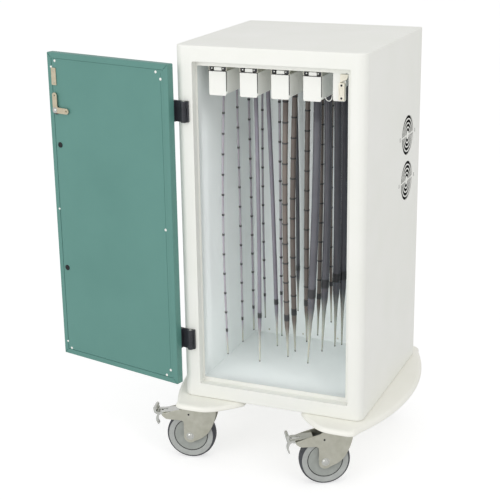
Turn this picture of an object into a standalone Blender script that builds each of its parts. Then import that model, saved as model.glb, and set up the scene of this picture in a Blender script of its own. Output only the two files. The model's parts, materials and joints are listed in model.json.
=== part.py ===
"""Mobile dilator storage cabinet: a ventilated steel cabinet on four casters.

Tapered dilators hang from four pull-out carriages under the cabinet's ceiling.
Metres, +Z up. The front faces -Y, and the door is hinged on the left and stands open.
The origin is on the floor, under the middle of the open cabinet's outline.
"""

import math

import bmesh
import bpy
from mathutils import Matrix, Vector

MM = 0.001
GAP = 0.3

# Cabinet body, measured in its own frame: the left sheet stands 7.5 mm outside its origin.
LEFT = -7.5
WIDTH = 457.0
DEPTH = 460.0
HEIGHT = 876.0
FLOOR_TO_BODY = 176.0
BODY_X = -68.0
BODY_Y = -230.0
CORNER_R = 20.0
SKIN = 2.0
FRAME_DEPTH = 24.0

# Pocket that takes the shut door, and the opening behind it.
POCKET_X = (36.4, 420.6)
POCKET_Z = (36.5, 839.0)
POCKET_DEPTH = 22.0
OPENING_X = (39.5, 408.5)
OPENING_Z = (46.5, 827.0)
LINER_BACK = 358.0
LINER_SKIN = 1.6

# Door, measured from its hinge pin with the door shut.
PIN_X = 16.4
PIN_Y = -7.7
DOOR_ANGLE = 193.0
DOOR_X = (21.1, 403.1)
DOOR_Z = (38.0, 834.5)
DOOR_FRONT = 7.7
DOOR_THICK = 21.5
DOOR_RIM = 13.5
HINGE_Z = (722.0, 153.4)
HINGE_HEIGHT = 50.0
STRAP_BACK = 5.2
KNUCKLE_R = 7.0
KNUCKLE_HALF = 9.0

# Turn lock on the door.
LOCK_X = 380.3
LOCK_Z = 692.0
LOCK_TUBE_R = 9.6
LOCK_SHAFT_R = 5.0
CAM_ARM = 37.0
CAM_HALF = 8.0

# Pull handle on the door's outer face.
HANDLE_X = 375.5
HANDLE_Z = (280.0, 603.5)
HANDLE_R = 6.0
HANDLE_STAND = 42.0

# Carriages and their ceiling slides.
CARRIAGE_X = (66.0, 143.6, 221.0, 298.6)
CARRIAGE_WIDTH = 45.0
CARRIAGE_Y = (30.0, 345.0)
CARRIAGE_Z = (758.0, 815.2)
CARRIAGE_SKIN = 1.5
RUNNER_WIDTH = 34.0
RAIL_SKIN = 1.5

# Dilators: rows front to back under each carriage.
TAPER_LENGTHS = (62.0, 115.0, 100.0, 175.0)
DILATOR_TOP = 797.0
COLLAR_Z = 761.5
TIP_R = 1.3

# Fans behind the right side's vents.
FAN_Y = 346.0
FAN_Z = (625.0, 509.5)
FAN_SIZE = 104.0
FAN_THICK = 25.0
FAN_BORE_R = 49.0
VENT_RADII = (14.0, 24.5, 35.0, 45.5)
VENT_HALF_WIDTH = 3.6
VENT_BAR_HALF = 3.0

# Bumper wings under the body, one each side.
WING_THICK = 13.0
WING_INNER = 157.0
WING_BULGE = 62.0
WING_ARC_R = 640.0
WING_HALF_LENGTH = 290.0

# Casters.
CASTER_X = (47.0, 403.0)
CASTER_Y = (30.0, 430.0)
CASTER_TRAIL = 48.0
WHEEL_R = 62.5
WHEEL_WIDTH = 32.0
AXLE_R = 6.0
FORK_INNER = 18.5
FORK_PLATE = 3.0
PLATE_Z = 158.0
PLATE_R = 33.0
PEDAL_PIVOT = (34.0, 121.0)


def clear_scene():
    """Remove every object of the scene."""
    for item in list(bpy.data.objects):
        bpy.data.objects.remove(item, do_unlink=True)


def new_collection(name):
    """Return a new collection linked to the scene."""
    made = bpy.data.collections.new(name)
    bpy.context.scene.collection.children.link(made)
    return made


clear_scene()
PARTS = new_collection("dilator_cabinet")
CUTTERS = new_collection("cutters")


def finish(name, colour, roughness, metallic):
    """Return a Principled material with the given look."""
    made = bpy.data.materials.new(name)
    made.use_nodes = True
    shader = made.node_tree.nodes["Principled BSDF"]
    shader.inputs["Base Color"].default_value = (*colour, 1.0)
    shader.inputs["Roughness"].default_value = roughness
    shader.inputs["Metallic"].default_value = metallic
    return made


def enamel(name):
    """White powder-coated sheet steel."""
    return finish(name, (0.86, 0.87, 0.84), 0.35, 0.0)


def teal(name):
    """Teal powder coat of the door."""
    return finish(name, (0.14, 0.30, 0.27), 0.45, 0.0)


def black(name):
    """Black plastic or cast metal."""
    return finish(name, (0.02, 0.02, 0.025), 0.4, 0.0)


def steel(name):
    """Satin zinc-plated steel."""
    return finish(name, (0.55, 0.54, 0.48), 0.35, 0.9)


def shaft_colour(name):
    """Grey-violet translucent dilator plastic."""
    return finish(name, (0.16, 0.14, 0.15), 0.45, 0.0)


def add_object(name, mesh, parent, collection=None):
    """Link a mesh as a named object under a parent."""
    made = bpy.data.objects.new(name, mesh)
    (collection or PARTS).objects.link(made)
    made.parent = parent
    return made


def empty(name, parent, location, turn_z=0.0):
    """Return an empty that carries a group of parts."""
    made = bpy.data.objects.new(name, None)
    PARTS.objects.link(made)
    made.parent = parent
    made.location = Vector(location) * MM
    made.rotation_euler = (0.0, 0.0, math.radians(turn_z))
    return made


def box(name, low, high, parent, collection=None):
    """Return a box between two corners given in the parent's millimetres."""
    low = Vector(low) * MM
    high = Vector(high) * MM
    size = high - low
    mesh = bpy.data.meshes.new(name)
    shape = bmesh.new()
    bmesh.ops.create_cube(shape, size=1.0, matrix=Matrix.Diagonal((*size, 1.0)))
    shape.to_mesh(mesh)
    shape.free()
    made = add_object(name, mesh, parent, collection)
    made.location = (low + high) / 2
    return made


def cylinder(name, radius, start, end, parent, segments=24, collection=None):
    """Return a cylinder between two points given in the parent's millimetres."""
    start = Vector(start) * MM
    end = Vector(end) * MM
    along = end - start
    mesh = bpy.data.meshes.new(name)
    shape = bmesh.new()
    bmesh.ops.create_cone(
        shape,
        cap_ends=True,
        segments=segments,
        radius1=radius * MM,
        radius2=radius * MM,
        depth=along.length,
    )
    shape.to_mesh(mesh)
    shape.free()
    made = add_object(name, mesh, parent, collection)
    made.location = (start + end) / 2
    made.rotation_euler = along.to_track_quat("Z", "Y").to_euler()
    return made


def evaluated_mesh(item):
    """Return a plain mesh of an object as its modifiers leave it."""
    bpy.context.view_layer.update()
    graph = bpy.context.evaluated_depsgraph_get()
    return bpy.data.meshes.new_from_object(item.evaluated_get(graph))


def weld(mesh):
    """Join a mesh's doubled points and point its faces outwards."""
    shape = bmesh.new()
    shape.from_mesh(mesh)
    bmesh.ops.remove_doubles(shape, verts=shape.verts, dist=0.00001)
    bmesh.ops.dissolve_limit(
        shape, angle_limit=math.radians(0.5), verts=shape.verts, edges=shape.edges
    )
    bmesh.ops.recalc_face_normals(shape, faces=shape.faces)
    shape.to_mesh(mesh)
    shape.free()


def outline(name, points, low, high, parent, axis="Z", collection=None):
    """Return a flat outline made solid between two levels along an axis.

    The points are (x, y) for axis Z and (x, z) for axis Y, in millimetres.
    """
    curve = bpy.data.curves.new(name + "_outline", "CURVE")
    curve.dimensions = "2D"
    curve.fill_mode = "BOTH"
    curve.extrude = (high - low) / 2 * MM
    line = curve.splines.new("POLY")
    line.points.add(len(points) - 1)
    for spot, (x, y) in zip(line.points, points):
        spot.co = (x * MM, y * MM, 0.0, 1.0)
    line.use_cyclic_u = True
    drawn = add_object(name + "_outline", curve, None)
    mesh = evaluated_mesh(drawn)
    bpy.data.objects.remove(drawn, do_unlink=True)
    weld(mesh)
    made = add_object(name, mesh, parent, collection)
    middle = (low + high) / 2 * MM
    if axis == "Z":
        made.location = (0.0, 0.0, middle)
    else:
        made.location = (0.0, middle, 0.0)
        made.rotation_euler = (math.radians(90), 0.0, 0.0)
    return made


def turned(name, profile, parent, location, segments=32):
    """Return a solid turned about its own Z from a top-to-bottom profile."""
    mesh = bpy.data.meshes.new(name)
    points = [(r * MM, 0.0, z * MM) for r, z in profile]
    edges = [(i, i + 1) for i in range(len(points) - 1)]
    if profile[0][0] > 0:
        edges.append((len(points) - 1, 0))
    mesh.from_pydata(points, edges, [])
    made = add_object(name, mesh, parent)
    made.location = Vector(location) * MM
    screw = made.modifiers.new("turn", "SCREW")
    screw.axis = "Z"
    screw.angle = math.radians(360)
    screw.steps = segments
    screw.render_steps = segments
    screw.use_merge_vertices = True
    screw.merge_threshold = 0.00001
    return made


def combine(target, other, operation):
    """Join or cut a part with another shape, then put the shape away."""
    modifier = target.modifiers.new(operation.lower(), "BOOLEAN")
    modifier.operation = operation
    modifier.solver = "EXACT"
    modifier.object = other
    mesh = evaluated_mesh(target)
    target.modifiers.clear()
    target.data = mesh
    bpy.data.objects.remove(other, do_unlink=True)


def join(target, *others):
    """Union shapes into a part."""
    for other in others:
        combine(target, other, "UNION")


def cut(target, *others):
    """Cut shapes out of a part."""
    for other in others:
        combine(target, other, "DIFFERENCE")


def cutter_box(low, high, parent):
    """Return a box that only cuts."""
    made = box("cutter", low, high, parent, CUTTERS)
    made.hide_render = True
    made.display_type = "WIRE"
    return made


def cutter_cylinder(radius, start, end, parent, segments=24):
    """Return a cylinder that only cuts."""
    made = cylinder("cutter", radius, start, end, parent, segments, CUTTERS)
    made.hide_render = True
    made.display_type = "WIRE"
    return made


def bevel(item, width, segments, chooses):
    """Round the edges of a part that a test picks."""
    shape = bmesh.new()
    shape.from_mesh(item.data)
    picked = [edge for edge in shape.edges if chooses(edge)]
    bmesh.ops.bevel(
        shape, geom=picked, offset=width * MM, segments=segments, profile=0.5, affect="EDGES"
    )
    shape.to_mesh(item.data)
    shape.free()


def is_rim_edge(edge):
    """Tell whether an edge runs level round a plate's rim."""
    a, b = (v.co for v in edge.verts)
    return abs(a.z - b.z) < 1e-6 and edge.calc_face_angle(0.0) > 0.8


def paint(item, material):
    """Give a part its material and smooth shading."""
    item.data.materials.clear()
    item.data.materials.append(material)
    if item.type == "MESH" and len(item.data.polygons):
        item.data.shade_smooth()
        item.data.set_sharp_from_angle(angle=math.radians(30))


def arc_points(centre, radius, start, end, count):
    """Return points along an arc, its angles in degrees."""
    made = []
    for i in range(count + 1):
        angle = math.radians(start + (end - start) * i / count)
        made.append((centre[0] + radius * math.cos(angle), centre[1] + radius * math.sin(angle)))
    return made


def build_front_frame(body):
    """The face ring with the pocket for the door and its stop flange."""
    frame = box("front_frame", (LEFT, 0, 0), (WIDTH, FRAME_DEPTH, HEIGHT), body)

    def is_front_corner(edge):
        a, b = (v.co for v in edge.verts)
        upright = abs(a.x - b.x) < 1e-6 and abs(a.y - b.y) < 1e-6
        return upright and a.y < 0

    bevel(frame, CORNER_R, 6, is_front_corner)
    pocket = cutter_box(
        (POCKET_X[0], -5, POCKET_Z[0]), (POCKET_X[1], POCKET_DEPTH, POCKET_Z[1]), body
    )
    opening = cutter_box(
        (OPENING_X[0], 10, OPENING_Z[0]), (OPENING_X[1], FRAME_DEPTH + 5, OPENING_Z[1]), body
    )
    cut(frame, pocket, opening)
    paint(frame, enamel("frame_enamel"))


def vent_slot(body, z, radius, side):
    """One half-ring slot that cuts the right side panel."""
    inner = radius - VENT_HALF_WIDTH
    outer = radius + VENT_HALF_WIDTH
    start_in = math.degrees(math.asin(VENT_BAR_HALF / inner))
    start_out = math.degrees(math.asin(VENT_BAR_HALF / outer))
    if side > 0:
        points = arc_points((0, 0), outer, start_out, 180 - start_out, 6)
        points += arc_points((0, 0), inner, 180 - start_in, start_in, 6)
    else:
        points = arc_points((0, 0), outer, -start_out, start_out - 180, 6)
        points += arc_points((0, 0), inner, start_in - 180, -start_in, 6)
    slot = outline("cutter", points, -4, 4, body, collection=CUTTERS)
    slot.rotation_euler = (math.radians(90), 0.0, math.radians(90))
    slot.location = Vector((WIDTH - SKIN / 2, FAN_Y, z)) * MM
    slot.hide_render = True
    slot.display_type = "WIRE"
    return slot


def build_skins(body):
    """The outer sheets of the cabinet."""
    near = FRAME_DEPTH + GAP
    far = DEPTH
    low = SKIN + GAP
    high = HEIGHT - SKIN - GAP
    left = box("side_panel_left", (LEFT, near, low), (LEFT + SKIN, far, high), body)
    right = box("side_panel_right", (WIDTH - SKIN, near, low), (WIDTH, far, high), body)
    for z in FAN_Z:
        for radius in VENT_RADII:
            cut(right, vent_slot(body, z, radius, 1), vent_slot(body, z, radius, -1))
    top = box("top_panel", (LEFT, near, HEIGHT - SKIN), (WIDTH, far, HEIGHT), body)
    bottom = box("bottom_pan", (LEFT, near, 0), (WIDTH, far, SKIN), body)
    inset = SKIN + GAP
    back = box(
        "back_panel", (LEFT + inset, far - SKIN, low), (WIDTH - inset, far, high), body
    )
    for item in (left, right, top, bottom, back):
        paint(item, enamel(item.name + "_enamel"))


def build_liner(body):
    """The chamber's inner box, open at the front."""
    near = FRAME_DEPTH + GAP
    skin = LINER_SKIN
    liner = box(
        "inner_liner",
        (OPENING_X[0] - skin, near, OPENING_Z[0] - skin),
        (OPENING_X[1] + skin, LINER_BACK + skin, OPENING_Z[1] + skin),
        body,
    )
    hollow = cutter_box(
        (OPENING_X[0], near - 10, OPENING_Z[0]), (OPENING_X[1], LINER_BACK, OPENING_Z[1]), body
    )
    latch_slot = cutter_box(
        (OPENING_X[1] - 5, near - 5, LOCK_Z - 16),
        (OPENING_X[1] + 5, near + 14, LOCK_Z + 56),
        body,
    )
    cut(liner, hollow, latch_slot)
    paint(liner, enamel("liner_enamel"))


def wing_points(side):
    """The outline of a wing: a wide arc outside and rounded ends."""
    middle_y = DEPTH / 2
    centre = WING_BULGE - WING_ARC_R
    half = WING_HALF_LENGTH
    outer = [
        (centre + math.sqrt(WING_ARC_R**2 - y * y), y)
        for y in [-262.0 + 524.0 * i / 16 for i in range(17)]
    ]
    corner = arc_points((-21.0, 262.0), 29.0, 18, 88, 5)
    shoulder = [(-52.0, half + 1.0), (-78.0, half - 2.0), (-100.0, half - 13.0)]
    tail = [(-122.0, half - 31.0), (-142.0, half - 51.0), (-WING_INNER, half - 70.0)]
    end = corner + shoulder + tail
    points = outer + end + [(x, -y) for x, y in reversed(end)]
    if side > 0:
        return [(WIDTH + x, middle_y + y) for x, y in points]
    return [(LEFT - x, middle_y + y) for x, y in reversed(points)]


def build_wings(body):
    """The bumper wings with the casters' fixed plates under them."""
    for label, side, caster_x in (("left", -1, CASTER_X[0]), ("right", 1, CASTER_X[1])):
        wing = outline("wing_" + label, wing_points(side), -WING_THICK - GAP, -GAP, body)
        bevel(wing, 4.0, 1, is_rim_edge)
        for y in CASTER_Y:
            plate = cylinder(
                "plate",
                PLATE_R,
                (caster_x, y, -WING_THICK + 3),
                (caster_x, y, PLATE_Z - FLOOR_TO_BODY),
                body,
                20,
            )
            join(wing, plate)
        paint(wing, enamel("wing_enamel_" + label))


def fork_plate_points():
    """The side plate's outline: x towards the trailing side, z above the floor."""
    points = [(-68.0, 144.0), (-66.5, 122.0), (-58.0, 94.0), (-45.0, 72.0)]
    points += [(-26.0, 57.0)] + arc_points((0.5, 60.0), 16.0, 225, 350, 4)
    points += [(16.5, 98.0), (22.0, 103.0), (57.0, 104.5), (66.0, 108.0)]
    points += [(72.5, 114.5), (69.0, 119.0), (40.0, 129.0), (14.0, 136.0), (2.0, 144.0)]
    return points


def build_fork(name, swivel):
    """A caster's fork with its swivel race, axle and crown."""
    inner = FORK_INNER
    outer = FORK_INNER + FORK_PLATE
    shift = CASTER_TRAIL
    points = [(x + shift, z) for x, z in fork_plate_points()]
    fork = outline(name, points, inner, outer, swivel, "Y")
    other = outline("plate", points, -outer, -inner, swivel, "Y")
    crown = box("crown", (-20.0, -outer + 0.5, 139.0), (50.0, outer - 0.5, 143.5), swivel)
    race = cylinder("race", 30.0, (0, 0, 139.5), (0, 0, PLATE_Z - GAP), swivel, 20)
    axle = cylinder("axle", AXLE_R, (shift, -outer - 4, WHEEL_R), (shift, outer + 4, WHEEL_R), swivel)
    join(fork, crown, other, race, axle)
    paint(fork, steel(name + "_steel"))


def build_wheel(name, swivel):
    """A caster's wheel: tyre, rim and hub turned as one, with a running bore."""
    half = WHEEL_WIDTH / 2
    bore = AXLE_R + GAP
    profile = [
        (bore, half + 1.5),
        (15.0, half + 1.5),
        (18.0, half - 3.0),
        (55.0, half),
        (WHEEL_R, half - 8.0),
    ]
    profile += [(r, -z) for r, z in reversed(profile)]
    wheel = turned(name, profile, swivel, (CASTER_TRAIL, 0, WHEEL_R), 28)
    wheel.rotation_euler = (math.radians(90), 0.0, 0.0)
    paint(wheel, finish(name + "_rubber", (0.32, 0.33, 0.34), 0.5, 0.0))


def build_pedal(name, swivel):
    """A brake pedal on the fork's trailing arms."""
    x, z = PEDAL_PIVOT
    hub = empty(name + "_pivot", swivel, (CASTER_TRAIL + x, 0, z))
    plate = [(-4.0, 2.5), (30.0, -1.5), (56.0, -6.0), (61.0, 12.0), (57.5, 13.0)]
    plate += [(52.5, -2.0), (30.0, 2.0), (-4.0, 6.0)]
    pedal = outline(name, plate, -16.5, 16.5, hub, "Y")
    barrel = cylinder("barrel", 5.0, (0, -17.5, 0), (0, 17.5, 0), hub, 16)
    join(pedal, barrel)
    paint(pedal, steel(name + "_steel"))


def build_casters(body):
    """Four swivel casters; the front pair carries brakes."""
    spots = (
        ("front_left", CASTER_X[0], CASTER_Y[0], 192.3, True),
        ("front_right", CASTER_X[1], CASTER_Y[0], 209.0, True),
        ("rear_left", CASTER_X[0], CASTER_Y[1], 180.0, False),
        ("rear_right", CASTER_X[1], CASTER_Y[1], 180.0, False),
    )
    for label, x, y, turn, braked in spots:
        swivel = empty("swivel_" + label, body, (x, y, -FLOOR_TO_BODY), turn)
        build_fork("caster_fork_" + label, swivel)
        build_wheel("caster_wheel_" + label, swivel)
        if braked:
            build_pedal("brake_pedal_" + label, swivel)


def build_hinge(label, z, body, door):
    """A knuckle hinge: two fixed knuckles on the frame and one on the door."""
    half = HINGE_HEIGHT / 2
    knuckle = KNUCKLE_HALF
    pin = (PIN_X, PIN_Y)
    leaf = box("hinge_leaf_frame_" + label, (23.8, -6.0, z - half), (27.0, -GAP, z + half), body)
    for low, high in ((z - half, z - knuckle), (z + knuckle, z + half)):
        pad = box("pad", (11.0, PIN_Y, low), (25.0, -GAP, high), body)
        barrel = cylinder("barrel", KNUCKLE_R, (*pin, low), (*pin, high), body)
        join(pad, barrel)
        join(leaf, pad)
    rod = cylinder("rod", 3.0, (*pin, z - knuckle - 3), (*pin, z + knuckle + 3), body, 16)
    join(leaf, rod)
    paint(leaf, black("hinge_frame_black_" + label))

    low = z - knuckle + GAP
    high = z + knuckle - GAP
    door_leaf = cylinder("hinge_leaf_door_" + label, KNUCKLE_R, (0, 0, low), (0, 0, high), door)
    neck = box("neck", (0.0, -STRAP_BACK, low), (14.0, -1.0, high), door)
    strap = box("strap", (12.0, -STRAP_BACK, z - half), (34.0, -0.6, z + half), door)
    foot = box("foot", (22.5, -3.0, z - half), (34.0, DOOR_FRONT - GAP, z + half), door)
    join(door_leaf, neck, strap, foot)
    cut(door_leaf, cutter_cylinder(3.3, (0, 0, low - 5), (0, 0, high + 5), door, 16))
    paint(door_leaf, black("hinge_door_black_" + label))


def build_door(door):
    """The door's outer pan, inner panel and fittings, in the hinge pin's frame."""
    front = DOOR_FRONT
    back = DOOR_FRONT + DOOR_THICK
    pan = box("door_pan", (DOOR_X[0], front, DOOR_Z[0]), (DOOR_X[1], back, DOOR_Z[1]), door)
    rim = DOOR_RIM
    inset = (DOOR_X[0] + rim, DOOR_X[1] - rim, DOOR_Z[0] + rim, DOOR_Z[1] - rim)
    hollow = cutter_box((inset[0], front + 2, inset[2]), (inset[1], back + 5, inset[3]), door)
    tube_hole = cutter_cylinder(
        LOCK_TUBE_R + GAP, (LOCK_X, front - 5, LOCK_Z), (LOCK_X, back + 5, LOCK_Z), door
    )
    cut(pan, hollow, tube_hole)
    paint(pan, teal("door_pan_teal"))

    panel = box(
        "door_inner_panel",
        (inset[0] + GAP, back - 2.2, inset[2] + GAP),
        (inset[1] - GAP, back - 0.7, inset[3] - GAP),
        door,
    )
    cut(
        panel,
        cutter_cylinder(
            LOCK_TUBE_R + GAP, (LOCK_X, back - 8, LOCK_Z), (LOCK_X, back + 5, LOCK_Z), door
        ),
    )
    paint(panel, teal("door_panel_teal"))

    strike = box("door_strike_plate", (375.0, back + GAP, 754.0), (390.5, back + 1.5, 797.0), door)
    paint(strike, finish("strike_steel", (0.62, 0.58, 0.46), 0.4, 0.6))

    build_handle(door)
    build_lock(door, front, back)


def build_handle(door):
    """A bow handle: one bent rod standing off the door's outer face."""
    curve = bpy.data.curves.new("pull_handle_path", "CURVE")
    curve.dimensions = "3D"
    curve.bevel_depth = HANDLE_R * MM
    curve.bevel_resolution = 3
    curve.use_fill_caps = True
    base = DOOR_FRONT - GAP
    crest = base - HANDLE_STAND
    low, high = HANDLE_Z
    bend = 18.0
    path = [(base, low)]
    for i in range(5):
        angle = math.radians(90 * i / 4)
        path.append((crest + bend * (1 - math.sin(angle)), low + bend * (1 - math.cos(angle))))
    for i in range(5):
        angle = math.radians(90 * i / 4)
        path.append((crest + bend * (1 - math.cos(angle)), high - bend * (1 - math.sin(angle))))
    path.append((base, high))
    line = curve.splines.new("POLY")
    line.points.add(len(path) - 1)
    for spot, (y, z) in zip(line.points, path):
        spot.co = (HANDLE_X * MM, y * MM, z * MM, 1.0)
    drawn = add_object("pull_handle_path", curve, None)
    mesh = evaluated_mesh(drawn)
    bpy.data.objects.remove(drawn, do_unlink=True)
    weld(mesh)
    handle = add_object("pull_handle", mesh, door)
    paint(handle, steel("handle_steel"))


def build_lock(door, front, back):
    """The lock's tube in the door, and its cam and knob that turn together."""
    axis = empty("lock_axis", door, (LOCK_X, 0, LOCK_Z))
    tube_start = front - 3.5
    tube_end = back + 2.8
    tube = cylinder("lock_tube", LOCK_TUBE_R, (0, tube_start, 0), (0, tube_end, 0), axis)
    flange = cylinder("flange", 14.0, (0, tube_start, 0), (0, front - GAP, 0), axis)
    join(tube, flange)
    bore = LOCK_SHAFT_R + GAP
    cut(tube, cutter_cylinder(bore, (0, tube_start - 5, 0), (0, tube_end + 5, 0), axis))
    paint(tube, black("lock_black"))

    knob = cylinder("lock_knob", 13.0, (0, tube_start - 9, 0), (0, tube_start - GAP, 0), axis)
    shaft = cylinder(
        "shaft", LOCK_SHAFT_R, (0, tube_start - 2, 0), (0, tube_end + 6.0, 0), axis
    )
    grip = box("grip", (-3.5, tube_start - 20, -13.0), (3.5, tube_start - 7, 13.0), axis)
    join(knob, shaft, grip)
    paint(knob, steel("knob_steel"))

    reach = CAM_ARM
    half = CAM_HALF
    points = arc_points((0, reach), half, 0, 180, 8)
    points += [(-half, half)]
    points += arc_points((-reach, 0), half, 90, 270, 8)
    points += arc_points((0, 0), half, 270, 360, 5)
    cam = outline("lock_cam", points, tube_end + GAP, tube_end + 2.8, axis, "Y")
    near = tube_end - 5
    far = tube_end + 8
    cut(
        cam,
        cutter_cylinder(LOCK_SHAFT_R + GAP, (0, near, 0), (0, far, 0), axis),
        cutter_cylinder(2.5, (0, near, reach), (0, far, reach), axis, 12),
        cutter_cylinder(2.5, (-reach, near, 0), (-reach, far, 0), axis, 12),
    )
    paint(cam, finish("cam_steel", (0.60, 0.57, 0.47), 0.35, 0.8))


def build_catch(body):
    """The bracket under the ceiling and the magnet that holds the door shut."""
    bracket = box("strike_bracket", (369.0, 31.6, 762.0), (399.0, 33.6, 826.7), body)
    flange = box("flange", (369.0, 31.6, 824.9), (399.0, 62.0, 826.7), body)
    join(bracket, flange)
    paint(bracket, enamel("bracket_enamel"))
    magnet = box("magnet_catch", (384.0, 24.4, 764.5), (398.0, 31.3, 804.5), body)
    paint(magnet, finish("magnet_plastic", (0.75, 0.70, 0.58), 0.5, 0.0))


def build_fan(label, z, body):
    """A fan behind the vents: its square housing and its rotor."""
    half = FAN_SIZE / 2
    outer = WIDTH - SKIN - GAP
    inner = outer - FAN_THICK
    axis = empty("fan_axis_" + label, body, (0, FAN_Y, z))
    housing = box("fan_housing_" + label, (inner, -half, -half), (outer, half, half), axis)
    cut(housing, cutter_cylinder(FAN_BORE_R, (inner - 5, 0, 0), (outer + 5, 0, 0), axis, 40))
    struts = [
        box("strut", (inner, -FAN_BORE_R - 1, -3.0), (inner + 4, FAN_BORE_R + 1, 3.0), axis),
        box("strut", (inner, -3.0, -FAN_BORE_R - 1), (inner + 4, 3.0, FAN_BORE_R + 1), axis),
        cylinder("stator", 20.0, (inner, 0, 0), (inner + 5, 0, 0), axis),
    ]
    join(housing, *struts)
    paint(housing, black("fan_black_" + label))

    rotor = cylinder("fan_rotor_" + label, 19.0, (inner + 6, 0, 0), (outer - 2, 0, 0), axis)
    for i in range(7):
        blade = box("blade", (-7.0, -1.0, 12.0), (7.0, 1.0, FAN_BORE_R - 2.5), axis)
        centre = Vector(((inner + outer) / 2 + 2, 0, 0)) * MM
        turn = Matrix.Rotation(math.radians(360 * i / 7), 4, "X")
        pitch = Matrix.Rotation(math.radians(38), 4, "Z")
        blade.matrix_basis = Matrix.Translation(centre) @ turn @ pitch @ blade.matrix_basis
        join(rotor, blade)
    paint(rotor, black("rotor_black_" + label))


def build_slide(index, left, body):
    """A ceiling rail, and the carriage that rides in it as an inverted drawer."""
    right = left + CARRIAGE_WIDTH
    near, far = CARRIAGE_Y
    low, high = CARRIAGE_Z
    ceiling = OPENING_Z[1] - GAP
    rail_low = high + GAP
    skin = RAIL_SKIN
    rail = box(f"slide_rail_{index}", (left, near, rail_low), (right, far, ceiling), body)
    channel = cutter_box(
        (left + skin, near - 5, rail_low - 5), (right - skin, far + 5, ceiling - skin), body
    )
    cut(rail, channel)
    paint(rail, steel(f"rail_steel_{index}"))

    skin = CARRIAGE_SKIN
    carriage = box(f"carriage_{index}", (left, near, low), (right, far, high), body)
    hollow = cutter_box(
        (left + skin, near + skin, low + skin), (right - skin, far - skin, high + 5), body
    )
    cut(carriage, hollow)
    middle = (left + right) / 2
    runner = box(
        "runner",
        (middle - RUNNER_WIDTH / 2, near + 0.5, high - 6),
        (middle + RUNNER_WIDTH / 2, far - 0.5, ceiling - RAIL_SKIN - 1.0),
        body,
    )
    join(carriage, runner)
    return carriage


def dilator_profile(radius, length, drop, taper):
    """A dilator from its flat top to its tapered tip, with its hanging collar."""
    return [
        (0.0, 0.0),
        (radius, 0.0),
        (radius, -drop + 5.0),
        (radius + 2.2, -drop + 5.0),
        (radius + 2.2, -drop),
        (radius, -drop),
        (radius, -length + taper),
        (max(radius * 0.5, TIP_R + 0.45), -length + taper * 0.42),
        (TIP_R + 0.4, -length + 3.0),
        (TIP_R, -length),
        (0.0, -length),
    ]


def build_dilators(index, left, carriage, body, row):
    """Four dilators of one carriage, each leaning a little from its hole."""
    middle = left + CARRIAGE_WIDTH / 2
    drop = DILATOR_TOP - COLLAR_Z
    taper = TAPER_LENGTHS[index - 1]
    for place, (radius, row_y, lean_x, lean_y, tip) in enumerate(row, start=1):
        name = f"dilator_{index}_{place}"
        top = Vector((middle, row_y, COLLAR_Z))
        end = Vector((middle + lean_x, row_y + lean_y, tip))
        along = (end - top).normalized()
        start = top - along * drop
        length = (end - start).length
        item = turned(name, dilator_profile(radius, length, drop, taper), body, start, 9)
        item.rotation_euler = (-along).to_track_quat("Z", "Y").to_euler()
        paint(item, shaft_colour(name + "_plastic"))
        hole = cutter_cylinder(
            radius + 1.5,
            top - along * 10,
            top + along * 14,
            body,
            10,
        )
        cut(carriage, hole)


def dilator_rows():
    """Radius, row, lean and tip height of each dilator, thin at the left, stout at the right."""
    return (
        (
            (2.4, 66.0, -1.5, -6.0, 98.0),
            (2.4, 140.0, 1.0, 10.0, 98.0),
            (2.6, 212.0, 2.0, 10.0, 104.0),
            (2.6, 306.0, 2.0, -3.0, 110.0),
        ),
        (
            (4.6, 70.0, 13.0, -26.0, 98.0),
            (5.0, 146.0, 17.0, 8.0, 98.0),
            (3.0, 222.0, 2.0, 2.0, 98.0),
            (4.8, 330.0, 7.0, 1.0, 130.0),
        ),
        (
            (6.2, 66.0, -9.9, 30.4, 98.0),
            (6.3, 128.0, -5.7, 8.3, 98.0),
            (6.1, 216.0, -0.6, -9.5, 98.0),
            (5.3, 312.0, 10.5, -53.2, 98.0),
        ),
        (
            (9.2, 64.0, -27.3, 10.9, 98.0),
            (9.1, 134.0, -20.6, 25.9, 98.0),
            (8.8, 206.0, -1.0, -3.2, 98.0),
            (8.6, 256.0, 12.1, -37.5, 98.0),
        ),
    )


def main():
    """Build the whole cabinet."""
    body = empty("cabinet_body", None, (BODY_X, BODY_Y, FLOOR_TO_BODY))
    build_front_frame(body)
    build_skins(body)
    build_liner(body)
    build_wings(body)
    build_casters(body)
    door = empty("door_hinge_axis", body, (PIN_X, PIN_Y, 0), -DOOR_ANGLE)
    for label, z in zip(("upper", "lower"), HINGE_Z):
        build_hinge(label, z, body, door)
    build_door(door)
    build_catch(body)
    for label, z in zip(("upper", "lower"), FAN_Z):
        build_fan(label, z, body)
    for index, (left, row) in enumerate(zip(CARRIAGE_X, dilator_rows()), start=1):
        carriage = build_slide(index, left, body)
        build_dilators(index, left, carriage, body, row)
        paint(carriage, enamel(f"carriage_enamel_{index}"))


main()
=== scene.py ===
"""Mobile dilator storage cabinet: the visible pieces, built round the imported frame.

Every sub-assembly is a class that holds its sizes in millimetres. A size is measured in the
cabinet's own frame unless its class says otherwise: the origin is at the front of the body's
underside, BODY_LEFT inside its left sheet, X runs to the right, Y to the back and Z up.
"""

import json
import logging
import math
from collections.abc import Callable, Sequence
from dataclasses import dataclass, replace
from enum import Enum
from functools import cache
from typing import Any

import bmesh
import bpy
from mathutils import Matrix, Vector


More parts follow.
